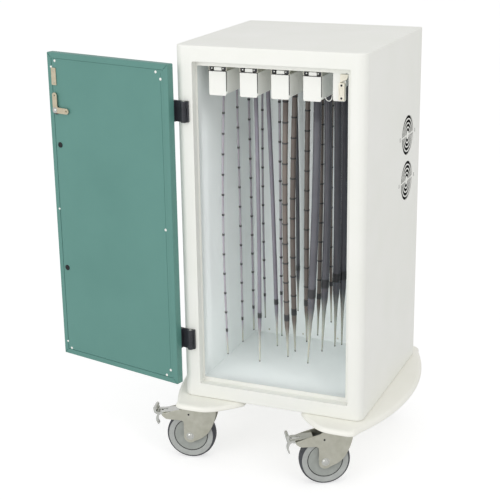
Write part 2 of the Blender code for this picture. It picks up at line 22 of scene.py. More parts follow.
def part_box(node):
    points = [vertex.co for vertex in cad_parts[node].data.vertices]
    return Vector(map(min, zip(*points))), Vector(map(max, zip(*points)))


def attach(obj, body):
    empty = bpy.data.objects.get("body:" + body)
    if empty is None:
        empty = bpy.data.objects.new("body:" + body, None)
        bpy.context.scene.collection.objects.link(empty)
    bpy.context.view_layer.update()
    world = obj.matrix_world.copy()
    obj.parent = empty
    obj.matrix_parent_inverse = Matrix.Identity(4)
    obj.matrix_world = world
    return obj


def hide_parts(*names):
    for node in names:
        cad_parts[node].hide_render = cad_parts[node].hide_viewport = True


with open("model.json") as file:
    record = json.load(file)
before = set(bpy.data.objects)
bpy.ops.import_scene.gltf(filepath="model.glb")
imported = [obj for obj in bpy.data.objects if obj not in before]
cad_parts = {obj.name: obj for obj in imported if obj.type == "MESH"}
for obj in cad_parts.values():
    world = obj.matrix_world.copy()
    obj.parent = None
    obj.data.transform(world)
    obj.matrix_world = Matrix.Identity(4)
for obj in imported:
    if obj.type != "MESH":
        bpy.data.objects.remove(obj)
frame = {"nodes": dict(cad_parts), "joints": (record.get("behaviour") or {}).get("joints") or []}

LOG = logging.getLogger("dilator_cabinet")
MM = 0.001
TINY = 1e-6
BODY_LEFT = -7.5
UNSEEN_GLOW = 0.45

Point = tuple[float, float]
Point3 = tuple[float, float, float]


class Axis(Enum):
    """The axis that a flat outline is drawn out along, as the slots of (u, v, w)."""

    X = (1, 2, 0)
    Y = (0, 2, 1)
    Z = (0, 1, 2)

    def point(self, u: float, v: float, w: float) -> Vector:
        """Put two outline numbers and a level into X, Y, Z order."""
        made = [0.0, 0.0, 0.0]
        for slot, value in zip(self.value, (u, v, w)):
            made[slot] = value
        return Vector(made)

    def turn(self) -> Matrix:
        """Return the turn that lays local Z along this axis."""
        turns = {
            Axis.X: Matrix.Rotation(math.radians(90), 4, "Y"),
            Axis.Y: Matrix.Rotation(math.radians(-90), 4, "X"),
            Axis.Z: Matrix.Identity(4),
        }
        return turns[self]


class Side(Enum):
    """The cabinet's left or right, as the sign of X outwards."""

    LEFT = -1
    RIGHT = 1


class Grain(Enum):
    """What a finish's surface relief looks like."""

    PEEL = "powder coat's orange peel"
    MOULDED = "a mould's fine pebble"
    BRUSHED = "lines along one way"
    ROLLED = "cloudy rolled sheet"


# Small helpers


def linear(colour: str) -> tuple[float, float, float, float]:
    """Turn an sRGB hex colour into linear RGBA.

    Args:
        colour: Six hex digits after a hash.

    Returns:
        The linear red, green, blue and a full alpha.
    """
    made = []
    for start in (1, 3, 5):
        value = int(colour[start : start + 2], 16) / 255
        made.append(value / 12.92 if value <= 0.04045 else ((value + 0.055) / 1.055) ** 2.4)
    return (made[0], made[1], made[2], 1.0)


def add_node(
    tree: bpy.types.NodeTree, kind: str, inputs: dict | None = None, **settings: Any
) -> bpy.types.Node:
    """Add a node with its settings, its constants and its links.

    Args:
        tree: The node tree that gets the node.
        kind: The node's type name.
        inputs: Input name or number to a constant, or to the socket that feeds it.
        settings: The node's own properties.

    Returns:
        The new node.
    """
    node = tree.nodes.new(kind)
    for name, value in settings.items():
        setattr(node, name, value)
    for name, value in (inputs or {}).items():
        if isinstance(value, bpy.types.NodeSocket):
            tree.links.new(value, node.inputs[name])
        else:
            node.inputs[name].default_value = value
    return node


def arc(centre: Point, radius: float, start: float, end: float, count: int) -> list[Point]:
    """Return points along an arc.

    Args:
        centre: The arc's centre.
        radius: Its radius.
        start: The first angle, in degrees.
        end: The last angle, in degrees.
        count: The number of steps.

    Returns:
        The points, both ends included.
    """
    angles = [math.radians(start + (end - start) * i / count) for i in range(count + 1)]
    return [(centre[0] + radius * math.cos(a), centre[1] + radius * math.sin(a)) for a in angles]


def smooth_line(points: Sequence[Sequence[float]], steps: int) -> list[tuple[float, ...]]:
    """Run a smooth curve through points.

    Args:
        points: The points to pass through, of two or three numbers each.
        steps: The number of steps between neighbours.

    Returns:
        The curve's points, both ends included.
    """
    ends = [points[0], *points, points[-1]]
    made = []
    for i in range(len(points) - 1):
        a, b, c, d = (Vector(p) for p in ends[i : i + 4])
        for k in range(steps):
            t = k / steps
            spot = (2 * b + (c - a) * t + (2 * a - 5 * b + 4 * c - d) * t * t) / 2
            spot += (3 * b - a - 3 * c + d) * t**3 / 2
            made.append(tuple(spot))
    made.append(tuple(points[-1]))
    return made


def round_rect(low: Point, high: Point, radius: float, steps: int = 6) -> list[Point]:
    """Return a rectangle's outline with rounded corners.

    Args:
        low: Its lowest corner.
        high: Its highest corner.
        radius: The corners' radius.
        steps: The steps in each corner.

    Returns:
        The outline's points, turning left.
    """
    corners = (
        ((high[0] - radius, high[1] - radius), 0),
        ((low[0] + radius, high[1] - radius), 90),
        ((low[0] + radius, low[1] + radius), 180),
        ((high[0] - radius, low[1] + radius), 270),
    )
    made: list[Point] = []
    for centre, start in corners:
        made += arc(centre, radius, start, start + 90, steps)
    return made


def is_upright(edge: bmesh.types.BMEdge) -> bool:
    """Tell whether an edge runs along Z."""
    a, b = (vert.co for vert in edge.verts)
    return abs(a.x - b.x) < TINY and abs(a.y - b.y) < TINY


# Finishes


@dataclass(frozen=True)
class Finish:
    """One material with its surface treatment.

    The two colours drift into each other over mottle_mm, the gloss drifts over the same
    distance, and the relief repeats about every grain_mm. Frequencies come from these sizes.
    A finish with a fade colour goes over to it where the mesh's "fade" attribute rises.
    """

    name: str
    slot: str | None
    colour: str
    drift: str
    roughness: float
    gloss_drift: float = 0.05
    metallic: float = 0.0
    mottle_mm: float = 90.0
    grain: Grain = Grain.MOULDED
    grain_mm: float = 4.0
    relief_mm: float = 0.02
    coat: float = 0.0
    soft: float = 0.0
    glow: float = 0.0
    fade: str | None = None

    def stretch(self) -> Point3:
        """Return how the relief's pattern is squeezed along each axis."""
        if self.grain is Grain.BRUSHED:
            return (1.0, 1.0, 0.06)
        if self.grain is Grain.ROLLED:
            return (1.0, 0.35, 1.0)
        return (1.0, 1.0, 1.0)

    def material(self) -> bpy.types.Material:
        """Return the finish's node material, made once."""
        return made_material(self)


@cache
def made_material(finish: Finish) -> bpy.types.Material:
    """Build a finish's material from its colours, gloss and relief.

    Args:
        finish: The finish to build.

    Returns:
        The node material.
    """
    made = bpy.data.materials.new(finish.name)
    made.use_nodes = True
    tree = made.node_tree
    shader = tree.nodes["Principled BSDF"]
    shader.inputs["Metallic"].default_value = finish.metallic
    shader.inputs["Coat Weight"].default_value = finish.coat
    shader.inputs["Coat Roughness"].default_value = 0.12
    shader.inputs["Subsurface Weight"].default_value = finish.soft
    shader.inputs["Subsurface Scale"].default_value = 2.0 * MM
    place = add_node(tree, "ShaderNodeTexCoord").outputs["Object"]
    cloud = add_node(
        tree,
        "ShaderNodeTexNoise",
        {"Vector": place, "Scale": 1000 / finish.mottle_mm, "Detail": 3.0, "Roughness": 0.55},
    ).outputs["Fac"]
    spread = add_node(
        tree, "ShaderNodeMapRange", {"Value": cloud, "From Min": 0.3, "From Max": 0.7}
    ).outputs["Result"]
    mixed = add_node(
        tree,
        "ShaderNodeMix",
        {0: spread, 6: linear(finish.colour), 7: linear(finish.drift)},
        data_type="RGBA",
    )
    if finish.fade:
        share = add_node(tree, "ShaderNodeAttribute", attribute_name="fade").outputs["Fac"]
        mixed = add_node(
            tree,
            "ShaderNodeMix",
            {0: share, 6: mixed.outputs[2], 7: linear(finish.fade)},
            data_type="RGBA",
        )
    tree.links.new(mixed.outputs[2], shader.inputs["Base Color"])
    gloss = add_node(
        tree,
        "ShaderNodeMapRange",
        {
            "Value": cloud,
            "From Min": 0.3,
            "From Max": 0.7,
            "To Min": finish.roughness - finish.gloss_drift / 2,
            "To Max": finish.roughness + finish.gloss_drift / 2,
        },
    )
    tree.links.new(gloss.outputs["Result"], shader.inputs["Roughness"])
    squeezed = add_node(
        tree, "ShaderNodeMapping", {"Vector": place, "Scale": finish.stretch()}
    ).outputs["Vector"]
    relief = add_node(
        tree,
        "ShaderNodeTexNoise",
        {"Vector": squeezed, "Scale": 1000 / finish.grain_mm, "Detail": 2.0},
    ).outputs["Fac"]
    bump = add_node(
        tree,
        "ShaderNodeBump",
        {"Height": relief, "Strength": 1.0, "Distance": finish.relief_mm * MM},
    )
    tree.links.new(bump.outputs["Normal"], shader.inputs["Normal"])
    if finish.glow:
        seen = add_node(tree, "ShaderNodeLightPath").outputs["Is Camera Ray"]
        glow = add_node(
            tree,
            "ShaderNodeMapRange",
            {"Value": seen, "To Min": finish.glow * UNSEEN_GLOW, "To Max": finish.glow},
        )
        shader.inputs["Emission Color"].default_value = (1.0, 1.0, 1.0, 1.0)
        tree.links.new(glow.outputs["Result"], shader.inputs["Emission Strength"])
    return made


# White powder coat on folded sheet steel: an even satin with a faint orange peel. The real
# peel is under 2 mm across, and it is drawn 6 mm across so that it still shows.
WHITE_COAT = Finish(
    "white_powder_coated_steel", "white_enamel", "#f3f3ee", "#eff0e9", 0.36,
    grain=Grain.PEEL, grain_mm=6.0, relief_mm=0.025, mottle_mm=160.0,
)
# The same coat inside the chamber, tinted a little cooler and greyer: painted shade of the deep
# chamber.
CHAMBER_COAT_PAINTED_SHADE = Finish(
    "chamber_powder_coated_steel", "white_enamel", "#eef3f2", "#e9eeed", 0.40,
    grain=Grain.PEEL, grain_mm=6.0, relief_mm=0.03, mottle_mm=140.0,
)
# Smooth gloss white on the small folded brackets and carriage faces: cleaner highlights.
BRACKET_COAT = Finish(
    "gloss_white_coated_sheet", "white_enamel", "#f6f6f1", "#f1f2ec", 0.30,
    grain=Grain.PEEL, grain_mm=5.0, relief_mm=0.015,
)
# Teal powder coat: flat and slightly dusty, with a soft cloudiness of its pigment.
TEAL_COAT = Finish(
    "teal_powder_coated_steel", "teal_enamel", "#5e9087", "#598b82", 0.44,
    grain=Grain.PEEL, grain_mm=5.0, relief_mm=0.03, mottle_mm=180.0,
)
# Moulded ABS of the bumper wings: a warm white with a fine pebble that blurs reflections.
WING_ABS = Finish(
    "moulded_abs_warm_white", "wing_plastic", "#f7f6ee", "#f3f2e9", 0.42,
    grain_mm=4.0, relief_mm=0.03, mottle_mm=140.0,
)
# Glass-filled nylon of the hinges and the lock barrel: near black with broad dull lights.
BLACK_NYLON = Finish(
    "moulded_black_nylon", "black_plastic", "#26272c", "#2f3137", 0.42,
    grain_mm=2.5, relief_mm=0.03, mottle_mm=25.0,
)
# Seals and handle plugs: moulded rubber, so dull that it reads as flat black. The same black is
# painted shade: blocks that fill the vents' screw slots, blocks in the gaps beside the carriages'
# faces, and a painted shadow line along their top edges.
BLACK_RUBBER_AND_SHADE = Finish(
    "matt_black_rubber", "black_plastic", "#17181b", "#1f2023", 0.75, mottle_mm=20.0,
)
# Zinc-plated pressings: a warm grey satin with a cloudy bloom from the plating bath.
ZINC_PLATE = Finish(
    "zinc_plated_pressed_steel", "zinc_steel", "#cccbbf", "#bdbcae", 0.36, 0.12,
    metallic=0.85, grain=Grain.ROLLED, grain_mm=3.0, relief_mm=0.02, mottle_mm=22.0,
)
# Chrome plate on the pedals, bolts and nuts: sharp bright reflections.
CHROME = Finish(
    "chrome_plated_steel", "zinc_steel", "#d9dad6", "#cfd0cb", 0.14, 0.05,
    metallic=1.0, grain_mm=3.0, relief_mm=0.006, mottle_mm=15.0,
)
# Yellow-passivated zinc of the lock's cam and the strike plate: beige with fine brushing.
PASSIVATED = Finish(
    "brushed_passivated_zinc", "catch_plastic", "#cfc4ac", "#c2b69c", 0.40, 0.08,
    metallic=0.35, grain=Grain.BRUSHED, grain_mm=0.8, relief_mm=0.02, mottle_mm=12.0,
)
# Cream moulded housing of the magnet.
CREAM_ABS = Finish(
    "moulded_cream_abs", "catch_plastic", "#f3efe0", "#ece7d6", 0.40,
    grain_mm=2.0, relief_mm=0.01, mottle_mm=20.0,
)
# Brushed stainless rod of the pull handle: lines along its length stretch the lights.
STAINLESS = Finish(
    "brushed_stainless_steel", "zinc_steel", "#c9cac6", "#bdbeba", 0.28, 0.06,
    metallic=1.0, grain=Grain.BRUSHED, grain_mm=0.9, relief_mm=0.012, mottle_mm=30.0,
)
# Thermoplastic rubber tyre: charcoal and matt, a little dusty on the tread.
TYRE_RUBBER = Finish(
    "charcoal_tyre_rubber", "tyre_grey", "#3b3d43", "#4a4c51", 0.62, 0.10,
    grain_mm=1.5, relief_mm=0.04, mottle_mm=12.0,
)
# Polypropylene wheel core: light grey with the faint swirl of a moulded disc.
WHEEL_CORE = Finish(
    "moulded_grey_polypropylene", "tyre_grey", "#b3b6b3", "#a8aba8", 0.45,
    grain_mm=2.5, relief_mm=0.03, mottle_mm=16.0,
)
# Hub cover, moulded in the same plastic a shade darker.
HUB_COVER = Finish(
    "moulded_mid_grey_polypropylene", "tyre_grey", "#a4a8a3", "#989c97", 0.42,
    grain_mm=2.5, relief_mm=0.03, mottle_mm=16.0,
)
# Fan frame and impeller: glass-filled polyester, dark and even.
FAN_PLASTIC = Finish(
    "moulded_black_polyester", "black_plastic", "#1b1c1f", "#232428", 0.5, mottle_mm=20.0,
)
# Printed black bands and cuffs on the dilators.
PRINT_BLACK = Finish(
    "printed_black_ink", "dilator_plastic", "#121316", "#191a1e", 0.35, mottle_mm=10.0,
)
# Translucent extruded plastic shafts: long streaks of colour and a soft inner light.
LILAC_SHAFT = Finish(
    "extruded_lilac_polyurethane", "dilator_plastic", "#87838b", "#938f96", 0.35,
    grain=Grain.BRUSHED, grain_mm=2.0, relief_mm=0.01, mottle_mm=45.0, soft=0.1,
)
DUSK_SHAFT = Finish(
    "extruded_dusk_polyurethane", "dilator_plastic", "#65626b", "#706d76", 0.33,
    grain=Grain.BRUSHED, grain_mm=2.0, relief_mm=0.01, mottle_mm=45.0, soft=0.1,
)
BROWN_SHAFT = Finish(
    "extruded_brown_polyurethane", "dilator_plastic", "#544c46", "#5f5650", 0.30,
    grain=Grain.BRUSHED, grain_mm=2.0, relief_mm=0.01, mottle_mm=45.0, soft=0.06,
)
SLATE_SHAFT = Finish(
    "extruded_slate_polyurethane", "dilator_plastic", "#3e3e44", "#47474d", 0.24,
    grain=Grain.BRUSHED, grain_mm=2.0, relief_mm=0.01, mottle_mm=45.0, soft=0.05,
)
# The tapered tips are ground thinner, so that they turn paler and cloudier towards the point.
PALE_TIP = "#9da094"
# The studio floor: a matt white sheet, lit from behind so that its shadow stays pale.
STUDIO_FLOOR = Finish(
    "matt_white_paper", None, "#c0c0c0", "#bdbdbd", 0.9, mottle_mm=900.0, relief_mm=0.001,
    glow=0.60,
)


# Mesh work


class Shape:
    """A mesh being made in millimetres, out of closed bodies."""

    def __init__(self, mesh: bpy.types.Mesh | None = None) -> None:
        """Start empty, or from a mesh."""
        self.mesh = bmesh.new()
        if mesh is not None:
            self.mesh.from_mesh(mesh)

    def block(self, low: Point3, high: Point3) -> "Shape":
        """Add a block between two corners."""
        size = Vector(high) - Vector(low)
        centre = (Vector(high) + Vector(low)) / 2
        matrix = Matrix.Translation(centre) @ Matrix.Diagonal((*size, 1.0))
        bmesh.ops.create_cube(self.mesh, size=1.0, matrix=matrix)
        return self

    def prism(
        self, outline: Sequence[Point], low: float, high: float, axis: Axis = Axis.Z
    ) -> "Shape":
        """Add a flat outline made solid.

        Args:
            outline: The outline's points in the plane across the axis.
            low: The first level along the axis.
            high: The second level along the axis.
            axis: The axis that it is drawn out along.

        Returns:
            The shape itself.
        """
        lower = [self.mesh.verts.new(axis.point(u, v, low)) for u, v in outline]
        upper = [self.mesh.verts.new(axis.point(u, v, high)) for u, v in outline]
        faces = [self.mesh.faces.new(lower[::-1]), self.mesh.faces.new(upper)]
        for i, vert in enumerate(lower):
            after = (i + 1) % len(lower)
            faces.append(self.mesh.faces.new((vert, lower[after], upper[after], upper[i])))
        bmesh.ops.recalc_face_normals(self.mesh, faces=faces)
        return self

    def lathe(
        self,
        profile: Sequence[Point],
        centre: Point3 = (0.0, 0.0, 0.0),
        axis: Axis = Axis.Z,
        segments: int = 48,
    ) -> "Shape":
        """Add a solid of revolution.

        Args:
            profile: Radius and height pairs; it closes on itself unless it starts on the axis.
            centre: Where the profile's zero is.
            axis: The axis it turns about.
            segments: The steps round the turn.

        Returns:
            The shape itself.
        """
        rings = []
        for radius, height in profile:
            if radius < TINY:
                rings.append([self.mesh.verts.new((0.0, 0.0, height))])
                continue
            spots = arc((0.0, 0.0), radius, 0.0, 360.0, segments)[:-1]
            rings.append([self.mesh.verts.new((x, y, height)) for x, y in spots])
        pairs = list(zip(rings, rings[1:]))
        if profile[0][0] > TINY:
            pairs.append((rings[-1], rings[0]))
        faces = []
        for one, two in pairs:
            for i in range(segments):
                j = i + 1
                ends = (one[i % len(one)], one[j % len(one)], two[j % len(two)], two[i % len(two)])
                corners = list(dict.fromkeys(ends))
                if len(corners) > 2:
                    faces.append(self.mesh.faces.new(corners))
        bmesh.ops.recalc_face_normals(self.mesh, faces=faces)
        made = [vert for ring in rings for vert in ring]
        matrix = Matrix.Translation(Vector(centre)) @ axis.turn()
        bmesh.ops.transform(self.mesh, matrix=matrix, verts=made)
        return self

    def disc(
        self, radius: float, low: float, high: float, centre: Point3, axis: Axis,
        segments: int = 48,
    ) -> "Shape":
        """Add a round disc or bar between two levels along its axis."""
        profile = [(0.0, low), (radius, low), (radius, high), (0.0, high)]
        return self.lathe(profile, centre, axis, segments)

    def sweep(self, path: Sequence[Point3], radius: float, segments: int = 16) -> "Shape":
        """Add a round rod along a path.

        Args:
            path: The centreline's points.
            radius: The rod's radius.
            segments: The steps round it.

        Returns:
            The shape itself.
        """
        points = [Vector(point) for point in path]
        last = len(points) - 1
        normal = (points[1] - points[0]).orthogonal().normalized()
        rings = []
        for i, point in enumerate(points):
            along = (points[min(i + 1, last)] - points[max(i - 1, 0)]).normalized()
            normal = (normal - along * normal.dot(along)).normalized()
            side = along.cross(normal)
            spots = arc((0.0, 0.0), radius, 0.0, 360.0, segments)[:-1]
            rings.append([self.mesh.verts.new(point + normal * x + side * y) for x, y in spots])
        faces = [self.mesh.faces.new(rings[0][::-1]), self.mesh.faces.new(rings[-1])]
        for one, two in zip(rings, rings[1:]):
            for i in range(segments):
                j = (i + 1) % segments
                faces.append(self.mesh.faces.new((one[i], one[j], two[j], two[i])))
        bmesh.ops.recalc_face_normals(self.mesh, faces=faces)
        return self

    def move(self, matrix: Matrix) -> "Shape":
        """Move or turn the whole shape."""
        bmesh.ops.transform(self.mesh, matrix=matrix, verts=self.mesh.verts)
        return self

    def add(self, other: "Shape") -> "Shape":
        """Take another shape's bodies in, unjoined."""
        mesh = bpy.data.meshes.new("carried")
        other.mesh.to_mesh(mesh)
        self.mesh.from_mesh(mesh)
        bpy.data.meshes.remove(mesh)
        return self

    def soften(
        self,
        width: float,
        steps: int = 3,
        chooses: Callable[[bmesh.types.BMEdge], bool] | None = None,
        angle: float = 40.0,
    ) -> "Shape":
        """Round the sharp edges.

        Args:
            width: How far the rounding reaches from the edge.
            steps: The rounding's steps.
            chooses: A further test that an edge has to pass.
            angle: The smallest fold that counts as sharp, in degrees.

        Returns:
            The shape itself.
        """
        least = math.radians(angle)
        picked = [
            edge
            for edge in self.mesh.edges
            if edge.is_manifold and edge.calc_face_angle(0.0) > least
            and (chooses is None or chooses(edge))
        ]
        bmesh.ops.bevel(
            self.mesh, geom=picked, offset=width, segments=steps, profile=0.5,
            affect="EDGES", clamp_overlap=True,
        )
        return self

    def _solid(self, name: str) -> bpy.types.Object:
        """Return a passing object that holds the shape."""
        mesh = bpy.data.meshes.new(name)
        bmesh.ops.recalc_face_normals(self.mesh, faces=self.mesh.faces)
        self.mesh.to_mesh(mesh)
        made = bpy.data.objects.new(name, mesh)
        bpy.context.scene.collection.objects.link(made)
        return made

    def _combine(self, operation: str, others: Sequence["Shape"]) -> "Shape":
        """Join or cut other shapes, one after the other."""
        solids = [self._solid("target")] + [other._solid("tool") for other in others]
        for tool in solids[1:]:
            step = solids[0].modifiers.new("step", "BOOLEAN")
            step.operation = operation
            step.solver = "EXACT"
            step.object = tool
        graph = bpy.context.evaluated_depsgraph_get()
        mesh = bpy.data.meshes.new_from_object(solids[0].evaluated_get(graph))
        self.mesh.clear()
        self.mesh.from_mesh(mesh)
        bpy.data.meshes.remove(mesh)
        for solid in solids:
            held = solid.data
            bpy.data.objects.remove(solid)
            bpy.data.meshes.remove(held)
        bmesh.ops.remove_doubles(self.mesh, verts=self.mesh.verts, dist=0.001)
        return self

    def carve(self, *tools: "Shape") -> "Shape":
        """Cut other shapes out of this one."""
        return self._combine("DIFFERENCE", tools)

    def fuse(self, *others: "Shape") -> "Shape":
        """Join other shapes to this one as one body."""
        return self._combine("UNION", others)


def plain_object(
    name: str, shape: Shape, place: Matrix, fold: float = 35.0
) -> bpy.types.Object:
    """Make a shape into an object at the origin, with its place in its mesh.

    Args:
        name: The object's name.
        shape: The shape, which is used up.
        place: The matrix from its millimetres to the frame's metres.
        fold: The largest fold that is shaded smooth, in degrees.

    Returns:
        The object, shaded so that broad faces stay flat beside rounded edges.
    """
    bmesh.ops.recalc_face_normals(shape.mesh, faces=shape.mesh.faces)
    shape.mesh.transform(place)
    mesh = bpy.data.meshes.new(name)
    shape.mesh.to_mesh(mesh)
    shape.mesh.free()
    made = bpy.data.objects.new(name, mesh)
    bpy.context.scene.collection.objects.link(made)
    mesh.shade_smooth()
    mesh.set_sharp_from_angle(angle=math.radians(fold))
    weigh = made.modifiers.new("weigh", "WEIGHTED_NORMAL")
    weigh.keep_sharp = True
    graph = bpy.context.evaluated_depsgraph_get()
    made.data = bpy.data.meshes.new_from_object(made.evaluated_get(graph))
    made.data.name = name
    made.modifiers.clear()
    bpy.data.meshes.remove(mesh)
    return made


# Geometry node trees


class NodeTree:
    """A geometry node tree with named inputs that ends in one plain mesh."""

    def __init__(self, name: str, **inputs: str) -> None:
        """Open the tree with its inputs, given as name to socket kind."""
        self.group = bpy.data.node_groups.new(name, "GeometryNodeTree")
        face = self.group.interface
        face.new_socket("Geometry", in_out="INPUT", socket_type="NodeSocketGeometry")
        face.new_socket("Geometry", in_out="OUTPUT", socket_type="NodeSocketGeometry")
        for label, kind in inputs.items():
            face.new_socket(label, in_out="INPUT", socket_type="NodeSocket" + kind)
        face.new_socket("Material", in_out="INPUT", socket_type="NodeSocketMaterial")
        self.inputs = add_node(self.group, "NodeGroupInput").outputs

    def node(self, kind: str, inputs: dict | None = None, **settings: Any) -> bpy.types.Node:
        """Add one geometry node."""
        return add_node(self.group, "GeometryNode" + kind, inputs, **settings)

    def close(self, socket: bpy.types.NodeSocket) -> None:
        """End the tree: real geometry, then its material."""
        real = self.node("RealizeInstances", {"Geometry": socket})
        dressed = self.node(
            "SetMaterial",
            {"Geometry": real.outputs["Geometry"], "Material": self.inputs["Material"]},
        )
        add_node(self.group, "NodeGroupOutput", {"Geometry": dressed.outputs["Geometry"]})

    def run(self, base: bpy.types.Mesh | None = None, **values: Any) -> Shape:
        """Evaluate the tree once and take its mesh.

        Args:
            base: The mesh that the tree starts from.
            values: Its inputs by name.

        Returns:
            The result as a shape.
        """
        carrier = bpy.data.objects.new("carrier", base or bpy.data.meshes.new("carrier"))
        bpy.context.scene.collection.objects.link(carrier)
        step = carrier.modifiers.new("nodes", "NODES")
        step.node_group = self.group
        for item in self.group.interface.items_tree:
            if item.in_out == "INPUT" and item.name in values:
                step[item.identifier] = values[item.name]
        graph = bpy.context.evaluated_depsgraph_get()
        mesh = bpy.data.meshes.new_from_object(carrier.evaluated_get(graph))
        made = Shape(mesh)
        bpy.data.meshes.remove(mesh)
        held = carrier.data
        bpy.data.objects.remove(carrier)
        bpy.data.meshes.remove(held)
        bmesh.ops.remove_doubles(made.mesh, verts=made.mesh.verts, dist=0.001)
        return made


def points_tree() -> NodeTree:
    """Return the tree that puts one item at every point of a mesh: rivets and screws."""
    tree = NodeTree("items_on_points", Item="Object")
    spots = tree.node("MeshToPoints", {"Mesh": tree.inputs["Geometry"]})
    item = tree.node("ObjectInfo", {"Object": tree.inputs["Item"]})
    placed = tree.node(
        "InstanceOnPoints",
        {"Points": spots.outputs["Points"], "Instance": item.outputs["Geometry"]},
    )
    tree.close(placed.outputs["Instances"])
    return tree


def line_tree() -> NodeTree:
    """Return the tree that repeats an item along lines at a pitch: bands and balls."""
    tree = NodeTree("items_along_lines", Item="Object", Pitch="Float")
    line = tree.node("MeshToCurve", {"Mesh": tree.inputs["Geometry"]})
    spots = tree.node(
        "CurveToPoints",
        {"Curve": line.outputs["Curve"], "Length": tree.inputs["Pitch"]},
        mode="LENGTH",
    )
    item = tree.node("ObjectInfo", {"Object": tree.inputs["Item"]})
    placed = tree.node(
        "InstanceOnPoints",
        {
            "Points": spots.outputs["Points"],
            "Instance": item.outputs["Geometry"],
            "Rotation": spots.outputs["Rotation"],
        },
    )
    tree.close(placed.outputs["Instances"])
    return tree


def wheel_tree() -> NodeTree:
    """Return the tree that repeats an item round local Z: fan blades and bolt circles."""
    tree = NodeTree("items_round_an_axis", Item="Object", Count="Int")
    spots = tree.node("MeshLine", {"Count": tree.inputs["Count"], "Offset": (0.0, 0.0, 0.0)})
    share = add_node(
        tree.group,
        "ShaderNodeMath",
        {0: tree.node("InputIndex").outputs["Index"], 1: tree.inputs["Count"]},
        operation="DIVIDE",
    )
    angle = add_node(
        tree.group, "ShaderNodeMath", {0: share.outputs[0], 1: math.tau}, operation="MULTIPLY"
    )
    turn = add_node(tree.group, "ShaderNodeCombineXYZ", {"Z": angle.outputs[0]})
    item = tree.node("ObjectInfo", {"Object": tree.inputs["Item"]})
    placed = tree.node(
        "InstanceOnPoints",
        {
            "Points": spots.outputs["Mesh"],
            "Instance": item.outputs["Geometry"],
            "Rotation": turn.outputs["Vector"],
        },
    )
    tree.close(placed.outputs["Instances"])
    return tree


def rings_tree() -> NodeTree:
    """Return the tree that draws evenly spaced flat rings: the vents' punched web."""
    tree = NodeTree(
        "concentric_rings", First="Float", Pitch="Float", Count="Int", Width="Float",
        Thickness="Float",
    )
    spots = tree.node("MeshLine", {"Count": tree.inputs["Count"], "Offset": (0.0, 0.0, 0.0)})
    step = add_node(
        tree.group,
        "ShaderNodeMath",
        {0: tree.node("InputIndex").outputs["Index"], 1: tree.inputs["Pitch"]},
        operation="MULTIPLY",
    )
    radius = add_node(
        tree.group, "ShaderNodeMath", {0: step.outputs[0], 1: tree.inputs["First"]}
    )
    circle = tree.node("CurvePrimitiveCircle", {"Resolution": 72, "Radius": 1.0})
    placed = tree.node(
        "InstanceOnPoints",
        {
            "Points": spots.outputs["Mesh"],
            "Instance": circle.outputs["Curve"],
            "Scale": radius.outputs[0],
        },
    )
    real = tree.node("RealizeInstances", {"Geometry": placed.outputs["Instances"]})
    even = tree.node("SetCurveRadius", {"Curve": real.outputs["Geometry"], "Radius": 1.0})
    flat = tree.node("SetCurveNormal", {"Curve": even.outputs["Curve"]}, mode="Z_UP")
    bar = tree.node(
        "CurvePrimitiveQuadrilateral",
        {"Width": tree.inputs["Width"], "Height": tree.inputs["Thickness"]},
    )
    web = tree.node(
        "CurveToMesh",
        {"Curve": flat.outputs["Curve"], "Profile Curve": bar.outputs["Curve"]},
    )
    tree.close(web.outputs["Mesh"])
    return tree


@cache
def tree_of(maker: Callable[[], NodeTree]) -> NodeTree:
    """Return a tree, built once."""
    return maker()


def item_object(shape: Shape) -> bpy.types.Object:
    """Hold a shape, in millimetres, as the object that a tree repeats."""
    mesh = bpy.data.meshes.new("repeated_item")
    shape.mesh.to_mesh(mesh)
    shape.mesh.free()
    made = bpy.data.objects.new("repeated_item", mesh)
    bpy.context.scene.collection.objects.link(made)
    return made


def spread_items(
    maker: Callable[[], NodeTree], item: Shape, spots: Sequence[Point3],
    edges: Sequence[tuple[int, int]] = (), **values: Any
) -> Shape:
    """Repeat an item with a tree over points or lines.

    Args:
        maker: The function that builds the tree.
        item: What is repeated, in millimetres.
        spots: The base mesh's points.
        edges: The base mesh's lines.
        values: The tree's further inputs.

    Returns:
        All the copies as one shape.
    """
    held = item_object(item)
    base = bpy.data.meshes.new("spots")
    base.from_pydata([tuple(spot) for spot in spots], list(edges), [])
    made = tree_of(maker).run(base, Item=held, **values)
    mesh = held.data
    bpy.data.objects.remove(held)
    bpy.data.meshes.remove(mesh)
    return made


def dome(radius: float, height: float, segments: int = 20) -> Shape:
    """Return a low domed head on its flat base, facing +Z."""
    steps = 5
    rise = [math.radians(90 * i / steps) for i in range(steps + 1)]
    profile = [(0.0, -0.3), (radius, -0.3)]
    profile += [(radius * math.cos(a), height * math.sin(a)) for a in rise[:-1]]
    return Shape().lathe(profile + [(0.0, height)], segments=segments)


def hex_head(across: float, height: float) -> Shape:
    """Return a hexagon head with softened corners, facing +Z."""
    outline = arc((0.0, 0.0), across / math.sqrt(3), 0.0, 360.0, 6)[:-1]
    return Shape().prism(outline, -0.3, height).soften(0.5, 2)


def slotted_head(radius: float, height: float) -> Shape:
    """Return a domed screw head with a cross cut in it, facing +Z."""
    head = dome(radius, height)
    half, low = radius * 0.16, height * 0.45
    cuts = [
        Shape().block((-radius * 0.7, -half, low), (radius * 0.7, half, height + 1)),
        Shape().block((-half, -radius * 0.7, low), (half, radius * 0.7, height + 1)),
    ]
    return head.carve(*cuts)


# Places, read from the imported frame


def joint_spot(name: str) -> Vector:
    """Return a joint's place in metres."""
    return Vector(next(j["pos_m"] for j in frame["joints"] if j["name"] == name))


def body_place() -> Matrix:
    """Return the matrix from the cabinet's millimetres to the frame's metres."""
    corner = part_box("front_frame")[0] - Vector((BODY_LEFT * MM, 0.0, 0.0))
    return Matrix.Translation(corner) @ Matrix.Scale(MM, 4)


